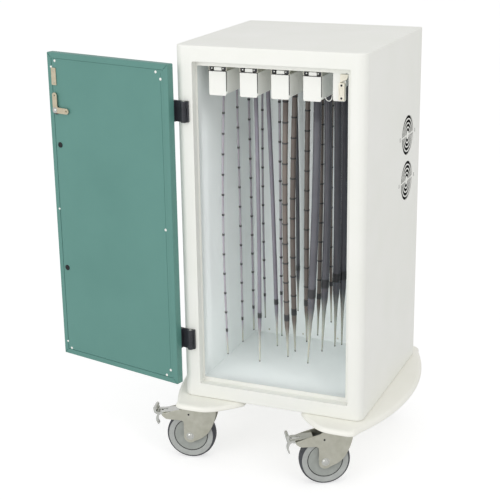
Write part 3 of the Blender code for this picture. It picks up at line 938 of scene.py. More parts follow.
def door_place() -> Matrix:
    """Return the door's matrix: its origin on the hinge pin, +X across the shut door."""
    swing = next(j for j in frame["joints"] if j["name"] == "door_swing")
    pin = Vector((*swing["pos_m"][:2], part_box("front_frame")[0].z))
    turn = Matrix.Rotation(math.radians(-max(swing["range_deg"])), 4, "Z")
    return Matrix.Translation(pin) @ turn @ Matrix.Scale(MM, 4)


def swivel_place(spot: str) -> Matrix:
    """Return a caster's matrix: on the floor under its swivel, +X towards its wheel."""
    pivot = joint_spot("caster_swivel_" + spot)
    wheel = joint_spot("wheel_spin_" + spot)
    turn = math.atan2(wheel.y - pivot.y, wheel.x - pivot.x)
    floor = Matrix.Translation((pivot.x, pivot.y, 0.0))
    return floor @ Matrix.Rotation(turn, 4, "Z") @ Matrix.Scale(MM, 4)


def centre_place(joint: str) -> Matrix:
    """Return a matrix with its origin at a joint, unturned."""
    return Matrix.Translation(joint_spot(joint)) @ Matrix.Scale(MM, 4)


# Sub-assemblies


@dataclass
class Assembly:
    """A sub-assembly: its pieces share one body and one local frame."""

    body: str
    place: Matrix

    def put(
        self,
        name: str,
        shape: Shape,
        finish: Finish,
        *nodes: str,
        body: str | None = None,
        place: Matrix | None = None,
        fold: float = 35.0,
    ) -> bpy.types.Object:
        """Finish a piece: dress it, let it ride, and hide the frame's nodes that it stands for.

        Args:
            name: The piece's name.
            shape: Its shape in local millimetres, which is used up.
            finish: Its finish.
            nodes: The frame's nodes that it replaces.
            body: The body it rides on, if not the assembly's own.
            place: Its local frame, if not the assembly's own.
            fold: The largest fold that is shaded smooth, in degrees.

        Returns:
            The finished object.
        """
        made = plain_object(name, shape, place or self.place, fold)
        made.data.materials.clear()
        made.data.materials.append(finish.material())
        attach(made, body or self.body)
        if nodes:
            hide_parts(*nodes)
        made.data.calc_loop_triangles()
        LOG.info("%s: %d triangles on %s", name, len(made.data.loop_triangles), body or self.body)
        return made

    def build(self) -> None:
        """Make every piece."""
        raise NotImplementedError


@dataclass
class CabinetShell(Assembly):
    """The folded steel body with its door pocket, vents and rear cover."""

    left: float = BODY_LEFT
    width: float = 457.0
    depth: float = 460.0
    height: float = 876.0
    corner_radius: float = 20.0
    rim_radius: float = 4.0
    skin: float = 2.0
    frame_depth: float = 24.0
    pocket_low: Point = (36.4, 36.5)
    pocket_high: Point = (420.6, 839.0)
    pocket_depth: float = 22.0
    opening_low: Point = (39.5, 46.5)
    opening_high: Point = (408.5, 827.0)
    vent_y: float = 346.0
    vent_z: Point = (625.0, 509.5)
    vent_radius: float = 49.1
    web_first: float = 19.25
    web_pitch: float = 10.5
    web_count: int = 3
    web_width: float = 3.3
    bar_half: float = 1.7
    screw_slot_reach: float = 66.5
    screw_slot: Point = (4.2, 11.0)
    web_skin: float = 1.2

    def outside(self) -> Shape:
        """Make the outer block with its wide front corners and soft rims."""
        shape = Shape().block((self.left, 0, 0), (self.width, self.depth, self.height))
        middle = self.depth / 2
        shape.soften(
            self.corner_radius, 16, lambda e: is_upright(e) and e.verts[0].co.y < middle
        )
        shape.soften(3.0, 4, lambda e: is_upright(e) and e.verts[0].co.y > middle)

        def is_rim(edge: bmesh.types.BMEdge) -> bool:
            """Tell whether an edge runs round the top or the bottom."""
            heights = [vert.co.z for vert in edge.verts]
            return max(heights) < TINY or min(heights) > self.height - TINY

        return shape.soften(self.rim_radius, 4, is_rim)

    def hollows(self) -> list[Shape]:
        """Make the cavity, the rear recess, the pocket and the opening, as cutters."""
        a, w, d, h, s = self.left, self.width, self.depth, self.height, self.skin
        cavity = Shape().block((a + s, self.frame_depth, s), (w - s, d - 3.5, h - s))
        rear = Shape().prism(
            round_rect((a + 14, 14), (w - 14, h - 14), 6), d - 10, d + 10, Axis.Y
        )
        recess = Shape().prism(
            round_rect((a + 2.6, 2.6), (w - 2.6, h - 2.6), 2.5), d - 1.8, d + 10, Axis.Y
        )
        pocket = Shape().prism(
            round_rect(self.pocket_low, self.pocket_high, 4.0), -5, self.pocket_depth, Axis.Y
        )
        opening = Shape().prism(
            round_rect(self.opening_low, self.opening_high, 3.0), 10, 40, Axis.Y
        )
        return [cavity, rear, recess, pocket, opening]

    def vent_holes(self) -> list[Shape]:
        """Make the round vents and the small upright screw slots beside them, as cutters."""
        made = []
        half_width, half_height = (size / 2 for size in self.screw_slot)
        for z in self.vent_z:
            centre = (self.width, self.vent_y, z)
            made.append(Shape().disc(self.vent_radius, -8, 8, centre, Axis.X, 72))
            for sign in (-1, 1):
                y = self.vent_y + sign * self.screw_slot_reach
                outline = round_rect(
                    (y - half_width, z - half_height),
                    (y + half_width, z + half_height),
                    half_width - 0.05,
                )
                made.append(Shape().prism(outline, self.width - 8, self.width + 8, Axis.X))
        return made

    def vent_web(self, z: float) -> Shape:
        """Make one vent's rings, centre disc and cross bar as one punched web."""
        half = self.web_skin / 2
        rings = tree_of(rings_tree).run(
            First=self.web_first,
            Pitch=self.web_pitch,
            Count=self.web_count,
            Width=self.web_width,
            Thickness=self.web_skin,
        )
        disc = Shape().disc(10.4, -half, half, (0, 0, 0), Axis.Z, 40)
        reach = self.vent_radius + 0.3
        bar = Shape().block((-self.bar_half, -reach, -half), (self.bar_half, reach, half))
        web = bar.fuse(rings, disc).soften(0.35, 1)
        centre = Vector((self.width - half, self.vent_y, z))
        return web.move(Matrix.Translation(centre) @ Axis.X.turn())

    def rear_cover(self) -> Shape:
        """Make the flat cover that closes the back."""
        outline = round_rect((self.left + 3.4, 3.4), (self.width - 3.4, self.height - 3.4), 2.0)
        return Shape().prism(outline, self.depth - 1.7, self.depth - 0.2, Axis.Y).soften(0.4, 2)

    def rear_screws(self) -> Shape:
        """Make the screws round the rear cover."""
        xs = (self.left + 12.0, (self.left + self.width) / 2, self.width - 12.0)
        zs = (12.0, self.height / 3, self.height * 2 / 3, self.height - 12.0)
        spots = [
            (x, self.depth - 0.2, z)
            for x in xs
            for z in zs
            if x != xs[1] or z in (zs[0], zs[-1])
        ]
        head = slotted_head(4.0, 1.8).move(Axis.Y.turn())
        return spread_items(points_tree, head, spots)

    def build(self) -> None:
        """Make the shell, the webs and the rear cover with its screws."""
        shell = self.outside().carve(*self.hollows(), *self.vent_holes())
        shell.soften(1.0, 2, lambda e: all(v.co.y < TINY for v in e.verts))

        def is_vent_rim(edge: bmesh.types.BMEdge) -> bool:
            """Tell whether an edge runs round a vent or a slot on the right side."""
            return all(
                vert.co.x > self.width - TINY and vert.co.y > 2 * self.frame_depth
                and 2 * self.skin < vert.co.z < self.height - 2 * self.rim_radius
                and vert.co.y < self.depth - 2 * self.rim_radius
                for vert in edge.verts
            )

        shell.soften(0.5, 1, is_vent_rim)
        self.put(
            "cabinet_shell", shell, WHITE_COAT,
            "front_frame", "side_panel_left", "side_panel_right", "top_panel", "bottom_pan",
        )
        for label, z in zip(("upper", "lower"), self.vent_z):
            self.put("vent_web_" + label, self.vent_web(z), WHITE_COAT)
        self.put("rear_cover", self.rear_cover(), WHITE_COAT, "back_panel")
        self.put("rear_cover_screws", self.rear_screws(), ZINC_PLATE)


@dataclass
class ChamberLiner(Assembly):
    """The chamber's inner box with its latch slot and its floor rivets."""

    low: Point3 = (37.9, 24.3, 44.9)
    high: Point3 = (410.1, 359.6, 828.6)
    skin: float = 1.6
    fillet: float = 2.0
    latch_z: Point = (676.0, 748.0)

    def build(self) -> None:
        """Make the liner and its pop rivets."""
        inner_low = (self.low[0] + self.skin, self.low[1] - 20, self.low[2] + self.skin)
        inner_high = tuple(value - self.skin for value in self.high)
        hollow = Shape().block(inner_low, inner_high)
        hollow.soften(self.fillet, 3, lambda e: max(v.co.y for v in e.verts) > self.low[1])
        slot = Shape().block(
            (inner_high[0] - 5, self.low[1] - 5, self.latch_z[0]),
            (inner_high[0] + 5, self.low[1] + 14, self.latch_z[1]),
        )
        liner = Shape().block(self.low, self.high).carve(hollow, slot)
        # The liner's coat carries painted shade: it is tinted cooler and greyer than the outer
        # coat.
        self.put("chamber_liner", liner, CHAMBER_COAT_PAINTED_SHADE, "inner_liner")
        back = self.high[1] - self.skin
        spots = [
            (inner_low[0] + 40 + 98 * i, back, z)
            for i in range(4)
            for z in (inner_low[2] + 9, inner_high[2] - 20)
        ]
        rivet = dome(2.6, 1.0).move(Matrix.Rotation(math.radians(180), 4, "X") @ Axis.Y.turn())
        self.put("chamber_rivets", spread_items(points_tree, rivet, spots), ZINC_PLATE)


@dataclass
class BumperWing(Assembly):
    """One moulded bumper wing under the body, with its casters' top plates."""

    side: Side = Side.LEFT
    body_left: float = BODY_LEFT
    body_width: float = 457.0
    middle_y: float = 230.0
    thickness: float = 13.0
    gap: float = 0.3
    inner: float = 157.0
    bulge: float = 62.0
    arc_radius: float = 640.0
    shoulder: float = 10.0
    rim: float = 2.4
    plate_x: float = 47.0
    plate_y: Point = (30.0, 430.0)
    plate_radius: float = 33.0
    plate_low: float = -18.0

    def outline(self) -> list[Point]:
        """Return the wing's outline: a wide arc outside and rounded ends."""
        centre = self.bulge - self.arc_radius
        reach = 262.0
        levels = [-reach + 2 * reach * i / 40 for i in range(41)]
        outer = [(centre + math.sqrt(self.arc_radius**2 - y * y), y) for y in levels]
        corner = arc((-21.0, reach), 29.0, 40, 88, 8)
        tail = [corner[-1], (-52.0, 291.0), (-78.0, 288.0), (-100.0, 277.0), (-122.0, 259.0)]
        tail += [(-142.0, 239.0), (-self.inner, 220.0)]
        end = corner[:-1] + [(x, y) for x, y in smooth_line(tail, 4)]
        points = outer + end + [(x, -y) for x, y in reversed(end)]
        if self.side is Side.RIGHT:
            return [(self.body_width + x, self.middle_y + y) for x, y in points]
        return [(self.body_left - x, self.middle_y + y) for x, y in reversed(points)]

    def bolts(self) -> Shape:
        """Make the four bolts under each caster's plate."""
        spots = []
        for y in self.plate_y:
            ring = arc((self.plate_x, y), self.plate_radius - 7.0, 45, 405, 4)[:-1]
            spots += [(x, spot_y, self.plate_low + 2.2) for x, spot_y in ring]
        head = hex_head(7.0, 2.6).move(Matrix.Rotation(math.radians(180), 4, "X"))
        return spread_items(points_tree, head, spots)

    def build(self) -> None:
        """Make the wing, its plates and their bolts."""
        name = self.side.name.lower()
        wing = Shape().prism(self.outline(), -self.thickness - self.gap, -self.gap)
        middle = -self.thickness / 2
        wing.soften(
            self.shoulder, 6, lambda e: not is_upright(e) and e.verts[0].co.z > middle
        )
        wing.soften(self.rim, 3, lambda e: all(v.co.z < 1 - self.thickness for v in e.verts))
        self.put("wing_" + name, wing, WING_ABS, "wing_" + name)
        plates = Shape()
        top = -self.thickness - self.gap + 0.5
        for y in self.plate_y:
            profile = [(0, top), (self.plate_radius, top), (self.plate_radius, -17.0)]
            profile += [(self.plate_radius - 1.5, self.plate_low), (0, self.plate_low)]
            plates.lathe(profile, (self.plate_x, y, 0))
        self.put("caster_plates_" + name, plates, ZINC_PLATE)
        self.put("caster_plate_bolts_" + name, self.bolts(), CHROME)


@dataclass
class Caster(Assembly):
    """A swivel caster. Its frame is on the floor under the swivel, +X towards the wheel."""

    spot: str = "front_left"
    trail: float = 48.0
    wheel_radius: float = 62.5
    half_width: float = 16.0
    fork_inner: float = 18.5
    fork_plate: float = 3.0
    crown: Point = (139.0, 143.5)
    race_radius: float = 30.0
    race_top: float = 157.7
    pin: Point = (3.0, 121.0)

    def plate_outline(self) -> list[Point]:
        """Return the fork's leaf-shaped side plate: x from the wheel's centre, z from the floor."""
        front = smooth_line(
            [(-68.0, 144.0), (-66.5, 122.0), (-58.0, 94.0), (-45.0, 72.0), (-26.0, 57.0)], 5
        )
        foot = arc((0.5, 60.0), 16.0, 225, 350, 10)
        lobe = smooth_line(
            [
                (16.5, 96.0), (22.0, 103.0), (57.0, 104.5), (66.0, 108.0), (72.5, 114.5),
                (69.0, 119.0), (40.0, 129.0), (14.0, 136.0), (2.0, 144.0),
            ],
            5,
        )
        return [(x + self.trail, z) for x, z in [*front, *foot, *lobe]]

    def swell(self, x: float) -> float:
        """Return how far the side plate bows outwards at a place along it."""
        far = (x - self.trail + 32.0) / 14.0
        return 4.2 * math.exp(-far * far)

    def side_plate(self, sign: int) -> Shape:
        """Make one side plate, softly bowed so that it catches the light in bands."""
        low, high = sorted((sign * self.fork_inner, sign * (self.fork_inner + self.fork_plate)))
        plate = Shape().prism(self.plate_outline(), low, high, Axis.Y)
        plate.soften(0.8, 2, lambda e: abs(e.verts[0].co.y - e.verts[1].co.y) < TINY)
        for i in range(22):
            bmesh.ops.bisect_plane(
                plate.mesh,
                geom=[*plate.mesh.verts, *plate.mesh.edges, *plate.mesh.faces],
                plane_co=(self.trail - 66.0 + 3.0 * i, 0, 0),
                plane_no=(1, 0, 0),
            )
        for vert in plate.mesh.verts:
            vert.co.y += sign * self.swell(vert.co.x)
        return plate

    def fork(self) -> Shape:
        """Make the two plates and the crown that joins them."""
        outer = self.fork_inner + self.fork_plate
        crown = Shape().block(
            (-21.0, -outer + 0.6, self.crown[0]), (50.0, outer - 0.6, self.crown[1])
        )
        crown.soften(1.2, 2)
        return crown.fuse(self.side_plate(1), self.side_plate(-1))

    def race(self) -> Shape:
        """Make the swivel race: a domed cup with its rolled lip."""
        r, top = self.race_radius, self.race_top
        profile = [
            (0.0, top), (r - 3.0, top), (r, top - 1.5), (r, top - 5.0), (r - 2.0, top - 6.0),
            (r - 2.0, top - 8.0), (r, top - 9.5), (r - 0.5, top - 14.0), (r - 4.0, 142.0),
            (0.0, 142.0),
        ]
        return Shape().lathe(profile)

    def axle(self) -> Shape:
        """Make the axle bolt's domed head, its washer and the nut on the other side."""
        reach = self.fork_inner + self.fork_plate
        centre = (self.trail, 0.0, self.wheel_radius)
        bar = Shape().disc(5.8, -reach - 1, reach + 1, centre, Axis.Y, 24)
        head = dome(7.6, 3.2, 28).move(Matrix.Translation((0, 0, reach + 1.2)))
        washer = Shape().lathe(
            [(0, reach - 0.2), (10.0, reach - 0.2), (10.0, reach + 0.9), (0, reach + 1.3)]
        )
        one = head.add(washer)
        nut = hex_head(12.0, 3.4).move(Matrix.Translation((0, 0, reach + 1.2))).add(
            Shape().lathe(
                [(0, reach - 0.2), (10.0, reach - 0.2), (10.0, reach + 0.9), (0, reach + 1.3)]
            )
        )
        nut.move(Matrix.Rotation(math.radians(180), 4, "X"))
        place = Matrix.Translation(centre) @ Axis.Y.turn()
        return bar.add(one.move(place)).add(nut.move(place))

    def wheel_piece(self, half_profile: Sequence[Point]) -> Shape:
        """Make a wheel part from one half of its profile, mirrored across the middle."""
        profile = [*half_profile, *[(r, -y) for r, y in reversed(half_profile)]]
        return Shape().lathe(profile, (self.trail, 0, self.wheel_radius), Axis.Y, 96)

    def build_wheel(self) -> None:
        """Make the tyre, the core's ring, its seal line and the hub cover."""
        body = "wheel_" + self.spot
        half, r = self.half_width, self.wheel_radius
        tyre = [(57.0, half - 2.5), (57.6, half - 0.6), (59.2, half - 0.9), (61.0, half - 3.2)]
        tyre += [(62.1, half - 7.0), (r, half - 12.0)]
        core = [(43.4, half - 4.0), (43.8, half - 1.9), (45.5, half - 1.3), (51.0, half - 0.8)]
        core += [(56.6, half - 0.5), (57.2, half - 1.2), (57.2, half - 4.0)]
        seal = [(41.6, half - 5.0), (41.6, half - 3.0), (43.6, half - 3.0), (43.6, half - 5.0)]
        hub = [(6.3, half + 1.4), (13.5, half + 1.4), (15.0, half - 0.4), (18.5, half - 3.0)]
        hub += [(36.0, half - 2.2), (40.6, half - 1.9), (41.8, half - 2.8), (41.8, half - 5.0)]
        self.put(
            "wheel_tyre_" + self.spot, self.wheel_piece(tyre), TYRE_RUBBER,
            "caster_wheel_" + self.spot, body=body,
        )
        self.put("wheel_core_" + self.spot, self.wheel_piece(core), WHEEL_CORE, body=body)
        self.put("wheel_seal_" + self.spot, self.wheel_piece(seal), BLACK_RUBBER_AND_SHADE, body=body)
        self.put("wheel_hub_" + self.spot, self.wheel_piece(hub), HUB_COVER, body=body)

    def fork_pins(self) -> Shape:
        """Make the dark pins near the top of each side plate."""
        x, z = self.pin
        outer = self.fork_inner + self.fork_plate
        made = Shape()
        for sign in (-1, 1):
            pin = dome(2.6, 1.2)
            turn = Axis.Y.turn() if sign > 0 else Matrix.Rotation(math.radians(90), 4, "X")
            spot = Vector((self.trail + x, sign * outer, z))
            made.add(pin.move(Matrix.Translation(spot) @ turn))
        return made

    def build(self) -> None:
        """Make the fork, race, axle, pins and wheel."""
        self.put(
            "fork_" + self.spot, self.fork(), ZINC_PLATE, "caster_fork_" + self.spot, fold=30.0
        )
        self.put("swivel_race_" + self.spot, self.race(), ZINC_PLATE)
        self.put("axle_bolt_" + self.spot, self.axle(), CHROME)
        self.put("fork_pins_" + self.spot, self.fork_pins(), BLACK_RUBBER_AND_SHADE)
        self.build_wheel()


@dataclass
class BrakePedal(Assembly):
    """A caster's foot brake, in the caster's frame: a pressed plate with an upturned toe."""

    spot: str = "front_left"
    trail: float = 48.0
    pivot: Point = (34.0, 121.0)
    half_width: float = 16.5
    slot_half: float = 6.0

    def plate(self) -> Shape:
        """Make the pedal's plate with its long slot, its rounded toe and its side cheeks."""
        line = [
            (-4.0, 2.5), (30.0, -1.5), (54.0, -6.5), (60.0, -2.0), (61.5, 6.0), (60.5, 13.0),
            (56.0, 13.5), (55.0, 6.0), (52.5, -1.0), (30.0, 2.4), (-4.0, 6.4),
        ]
        half = self.half_width
        plate = Shape().prism(line, -half, half, Axis.Y)
        slot = Shape().prism(
            round_rect((27.0, -self.slot_half), (50.0, self.slot_half), 2.5), -20.0, 9.0
        )
        waist = [
            Shape().disc(30.0, -20, 20, (34.0, sign * (half + 28.5), 0.0), Axis.Z, 36)
            for sign in (-1, 1)
        ]
        plate.carve(slot, *waist)
        cheeks = [
            Shape().prism(
                [(-6.0, -6.0), (20.0, -9.0), (44.0, -8.5), (50.0, -5.5), (30.0, 0.5), (-6.0, 4.0)],
                y, y + 1.8, Axis.Y,
            )
            for y in (-half + 4.0, half - 5.8)
        ]
        barrel = Shape().disc(5.0, -half - 1.0, half + 1.0, (0, 0, 0), Axis.Y, 24)
        tread = Shape().sweep([(57.8, -half + 1.5, 9.0), (57.8, half - 1.5, 9.0)], 4.6, 16)
        return plate.fuse(*cheeks, barrel, tread).soften(0.8, 2)

    def lever(self) -> Shape:
        """Make the curved release lever that reaches down in front of the tyre."""
        outer = smooth_line(
            [(46.0, -6.0), (52.5, -9.5), (57.0, -17.0), (58.0, -28.0), (53.0, -39.0)], 5
        )
        inner = smooth_line(
            [(50.0, -38.0), (53.5, -28.0), (52.5, -19.5), (49.5, -13.5), (43.0, -9.0)], 5
        )
        lever = Shape().prism([*outer, *inner], -7.0, 7.0, Axis.Y)
        return lever.soften(0.8, 2)

    def build(self) -> None:
        """Make the pedal and its release lever."""
        x, z = self.pivot
        place = self.place @ Matrix.Translation((self.trail + x, 0, z))
        name = "brake_pedal_" + self.spot
        self.put(name + "_plate", self.plate(), CHROME, name, place=place)
        self.put(name + "_lever", self.lever(), CHROME, place=place)


@dataclass
class Hinge(Assembly):
    """A knuckle hinge in the cabinet's frame, with its door leaf in the door's frame."""

    label: str = "upper"
    z: float = 722.0
    pin: Point = (16.4, -7.7)
    half: float = 25.0
    knuckle: float = 9.0
    radius: float = 7.0
    strap_back: float = 5.2
    door: Matrix | None = None

    def frame_leaf(self) -> Shape:
        """Make the two fixed knuckles on their block."""
        z = self.z
        leaf = Shape().block((23.8, -6.0, z - self.half), (27.0, -0.3, z + self.half))
        parts = []
        for low, high in ((z - self.half, z - self.knuckle), (z + self.knuckle, z + self.half)):
            parts.append(Shape().block((11.0, self.pin[1], low), (25.0, -0.3, high)))
            parts.append(Shape().disc(self.radius, low, high, (*self.pin, 0), Axis.Z, 40))
        middle = Shape().block(
            (19.0, -1.0, z - self.knuckle - 0.2), (24.5, -0.3, z + self.knuckle + 0.2)
        )
        return leaf.fuse(*parts, middle).soften(1.6, 3, angle=50.0)

    def door_leaf(self) -> Shape:
        """Make the door's knuckle and its strap."""
        z, r = self.z, self.radius
        low, high = z - self.knuckle + 0.3, z + self.knuckle - 0.3
        leaf = Shape().disc(r, low, high, (0, 0, 0), Axis.Z, 40)
        neck = Shape().block((0.0, -self.strap_back, low), (14.0, -1.0, high))
        strap = Shape().block((8.6, -self.strap_back, z - self.half), (34.0, -0.6, z + self.half))
        foot = Shape().block((22.5, -3.0, z - self.half), (34.0, 7.4, z + self.half))
        return leaf.fuse(neck, strap, foot).soften(1.6, 3, angle=50.0)

    def build(self) -> None:
        """Make both leaves and the pin's domed ends."""
        self.put(
            "hinge_block_" + self.label, self.frame_leaf(), BLACK_NYLON,
            "hinge_leaf_frame_" + self.label,
        )
        self.put(
            "hinge_strap_" + self.label, self.door_leaf(), BLACK_NYLON,
            "hinge_leaf_door_" + self.label, body="door", place=self.door,
        )
        caps = dome(3.2, 1.0).move(Matrix.Translation((*self.pin, self.z + self.half)))
        under = dome(3.2, 1.0).move(Matrix.Rotation(math.radians(180), 4, "X"))
        caps.add(under.move(Matrix.Translation((*self.pin, self.z - self.half))))
        self.put("hinge_pin_" + self.label, caps, CHROME)


@dataclass
class Door(Assembly):
    """The door in its own frame: the pin at the origin, +X across it, +Y through to its inside."""

    x: Point = (21.1, 403.1)
    z: Point = (38.0, 834.5)
    front: float = 7.7
    thickness: float = 21.5
    rim: float = 13.5
    edge: float = 2.2
    groove_x: float = 42.4
    lock: Point = (380.3, 692.0)
    lock_hole: float = 9.9
    strike_x: Point = (375.0, 390.5)
    strike_z: Point = (754.0, 797.0)
    rivet_spots: tuple[Point, ...] = (
        (377.8, 814.3), (391.4, 798.7), (56.7, 814.5), (42.8, 798.8), (391.9, 435.3),
        (43.1, 435.1), (391.0, 72.9), (378.3, 55.6), (42.8, 71.6), (55.6, 55.8),
    )
    plug_spots: tuple[Point, ...] = ((374.9, 603.5), (376.0, 279.7))

    @property
    def back(self) -> float:
        """The level of the rim's inner face."""
        return self.front + self.thickness

    def mitre(self, corner: Point, turn: float) -> Shape:
        """Make the slit of one mitred corner, as a cutter."""
        slit = Shape().block((-3.0, -2.2, -0.55), (17.0, 4.0, 0.55))
        slit.move(Matrix.Rotation(math.radians(turn), 4, "Y"))
        return slit.move(Matrix.Translation((corner[0], self.back, corner[1])))

    def pan(self) -> Shape:
        """Make the outer pan: a soft-edged tray with mitred corners."""
        (x0, x1), (z0, z1), rim = self.x, self.z, self.rim
        pan = Shape().block((x0, self.front, z0), (x1, self.back, z1)).soften(self.edge, 4)
        hollow = Shape().block(
            (x0 + rim, self.front + 2, z0 + rim), (x1 - rim, self.back + 5, z1 - rim)
        )
        hole = Shape().disc(
            self.lock_hole, self.front - 5, self.back + 5, (self.lock[0], 0, self.lock[1]), Axis.Y
        )
        slits = [
            self.mitre((x0, z1), 45), self.mitre((x1, z1), 135),
            self.mitre((x0, z0), -45), self.mitre((x1, z0), -135),
        ]
        return pan.carve(hollow, hole, *slits)

    def panel(self) -> Shape:
        """Make the inner panel with its folded margin and the groove beside the hinges."""
        (x0, x1), (z0, z1), rim = self.x, self.z, self.rim
        low, high = self.back - 2.2, self.back - 0.7
        outline = round_rect((x0 + rim + 0.5, z0 + rim + 0.5), (x1 - rim - 0.5, z1 - rim - 0.5), 2)
        panel = Shape().prism(outline, low, high, Axis.Y)
        panel.soften(0.7, 3, lambda e: all(v.co.y > high - TINY for v in e.verts))
        groove = Shape().prism(
            [
                (self.groove_x - 1.3, high + 1.0), (self.groove_x, high - 1.0),
                (self.groove_x + 1.3, high + 1.0),
            ],
            z0 + rim + 8, z1 - rim - 8, Axis.Z,
        )
        hole = Shape().disc(
            self.lock_hole, low - 5, high + 5, (self.lock[0], 0, self.lock[1]), Axis.Y
        )
        return panel.carve(groove, hole)

    def strike(self) -> Shape:
        """Make the steel strike plate that the magnet holds."""
        outline = round_rect(
            (self.strike_x[0], self.strike_z[0]), (self.strike_x[1], self.strike_z[1]), 1.5, 4
        )
        low = self.back + 0.1
        return Shape().prism(outline, low, low + 1.3, Axis.Y).soften(0.4, 2)

    def build(self) -> None:
        """Make the pan, panel, rivets, plugs and strike plate."""
        self.put("door_pan", self.pan(), TEAL_COAT, "door_pan")
        self.put("door_inner_panel", self.panel(), TEAL_COAT, "door_inner_panel")
        inside = self.back - 0.75
        rivet = dome(3.4, 1.1).move(Axis.Y.turn())
        spots = [(x, inside, z) for x, z in self.rivet_spots]
        self.put("door_rivets", spread_items(points_tree, rivet, spots), BRACKET_COAT)
        plug = Shape().lathe(
            [(0, -0.3), (7.0, -0.3), (7.0, 1.2), (6.0, 2.0), (3.2, 2.1), (2.8, 1.5), (0, 1.5)]
        ).move(Axis.Y.turn())
        spots = [(x, inside, z) for x, z in self.plug_spots]
        self.put("handle_plugs", spread_items(points_tree, plug, spots), BLACK_RUBBER_AND_SHADE)
        self.put("strike_plate", self.strike(), PASSIVATED, "door_strike_plate")
        middle = sum(self.strike_x) / 2
        spots = [(middle, self.back + 1.4, z) for z in (self.strike_z[0] + 7, self.strike_z[1] - 7)]
        screw = slotted_head(2.2, 0.8).move(Axis.Y.turn())
        self.put("strike_plate_screws", spread_items(points_tree, screw, spots), ZINC_PLATE)


@dataclass
class PullHandle(Assembly):
    """The bow handle on the door's outer face, in the door's frame."""

    x: float = 375.5
    z: Point = (280.0, 603.5)
    radius: float = 6.0
    stand: float = 42.0
    base: float = 7.4
    bend: float = 18.0

    def build(self) -> None:
        """Make the bent rod and the rosettes at its feet."""
        low, high = self.z
        crest = self.base - self.stand
        lower = arc((crest + self.bend, low + self.bend), self.bend, 270, 180, 10)
        upper = arc((crest + self.bend, high - self.bend), self.bend, 180, 90, 10)
        line = [(self.base, low), *lower, *upper, (self.base, high)]
        rod = Shape().sweep([(self.x, y, z) for y, z in line], self.radius, 28)
        self.put("pull_handle", rod, STAINLESS, "pull_handle")
        rosette = Shape().lathe(
            [(0, 0), (9.0, 0), (9.0, 1.4), (8.0, 2.4), (6.4, 2.6), (0, 2.6)], segments=36
        ).move(Matrix.Rotation(math.radians(90), 4, "X"))
        spots = [(self.x, self.base, z) for z in self.z]
        self.put("handle_rosettes", spread_items(points_tree, rosette, spots), STAINLESS)


@dataclass
class TurnLock(Assembly):
    """The door's turn lock, in the door's frame: a barrel, a knob outside and a cam inside."""

    x: float = 380.3
    z: float = 692.0
    tube_start: float = 4.2
    tube_end: float = 32.0
    tube_radius: float = 9.6
    shaft_radius: float = 5.0
    arm: float = 37.0
    arm_half: float = 7.2
    plate: float = 2.5

    def barrel(self) -> Shape:
        """Make the threaded barrel with its flange."""
        s, e, r, bore = self.tube_start, self.tube_end, self.tube_radius, self.shaft_radius + 0.3
        profile = [(bore, s), (12.5, s), (14.0, s + 1.5), (14.0, 7.4), (r, 7.4)]
        level = 24.0
        while level < e - 1.5:
            profile += [(r, level), (r - 0.6, level + 0.5)]
            level += 1.0
        profile += [(r, e - 1.0), (r - 1.0, e), (bore, e)]
        return Shape().lathe(profile, (self.x, 0, self.z), Axis.Y, 40)

    def knob(self) -> Shape:
        """Make the knob's disc, its grip bar and the shaft through the door."""
        s = self.tube_start
        profile = [(0, s - 8.5), (11.0, s - 8.5), (13.0, s - 6.5), (13.0, s - 1.0), (12.0, s - 0.3)]
        profile += [(self.shaft_radius, s - 0.3), (self.shaft_radius, self.tube_end + 5.0)]
        profile += [(0, self.tube_end + 5.0)]
        turned = Shape().lathe(profile, axis=Axis.Y, segments=40)
        grip = Shape().prism(round_rect((-3.5, -13.0), (3.5, 13.0), 3.0), s - 20, s - 7, Axis.Y)
        grip.soften(1.2, 3, angle=60.0)
        return turned.fuse(grip).move(Matrix.Translation((self.x, 0, self.z)))

    def cam(self) -> Shape:
        """Make the two-armed cam plate with its rounded ends and link holes."""
        reach, half = self.arm, self.arm_half
        points = arc((0, reach), half, 0, 180, 14)
        points += arc((-half - 4, half + 4), 4.0, 0, -90, 5)
        points += arc((-reach, 0), half, 90, 270, 14)
        points += arc((0, 0), half, 270, 360, 8)
        start = self.tube_end + 0.3
        cam = Shape().prism(points, start, start + self.plate, Axis.Y)
        holes = [
            Shape().disc(2.0, start - 5, start + 5, (x, 0, z), Axis.Y, 20)
            for x, z in ((0, reach), (-reach, 0))
        ]
        cam.carve(*holes).soften(0.5, 2)
        return cam.move(Matrix.Translation((self.x, 0, self.z)))

    def build(self) -> None:
        """Make the barrel, knob, cam and the cam's nut."""
        self.put("lock_barrel", self.barrel(), BLACK_NYLON, "lock_tube")
        self.put("lock_knob", self.knob(), STAINLESS, "lock_knob", body="lock")
        self.put("lock_cam", self.cam(), PASSIVATED, "lock_cam", body="lock")
        end = self.tube_end + 0.3 + self.plate
        nut = dome(6.4, 3.0, 28).add(
            Shape().lathe([(0, -0.3), (7.6, -0.3), (7.6, 0.7), (0, 0.7)], segments=28)
        )
        nut.move(Matrix.Translation((self.x, end, self.z)) @ Axis.Y.turn())
        self.put("lock_cam_nut", nut, CHROME, body="lock")
        boss = Shape().lathe(
            [(self.tube_radius + 0.2, 28.6), (11.4, 28.6), (11.4, 30.2), (10.8, 31.0),
             (self.tube_radius + 0.2, 31.0)],
            (self.x, 0, self.z), Axis.Y, 40,
        )
        self.put("lock_ring_nut", boss, BLACK_NYLON)


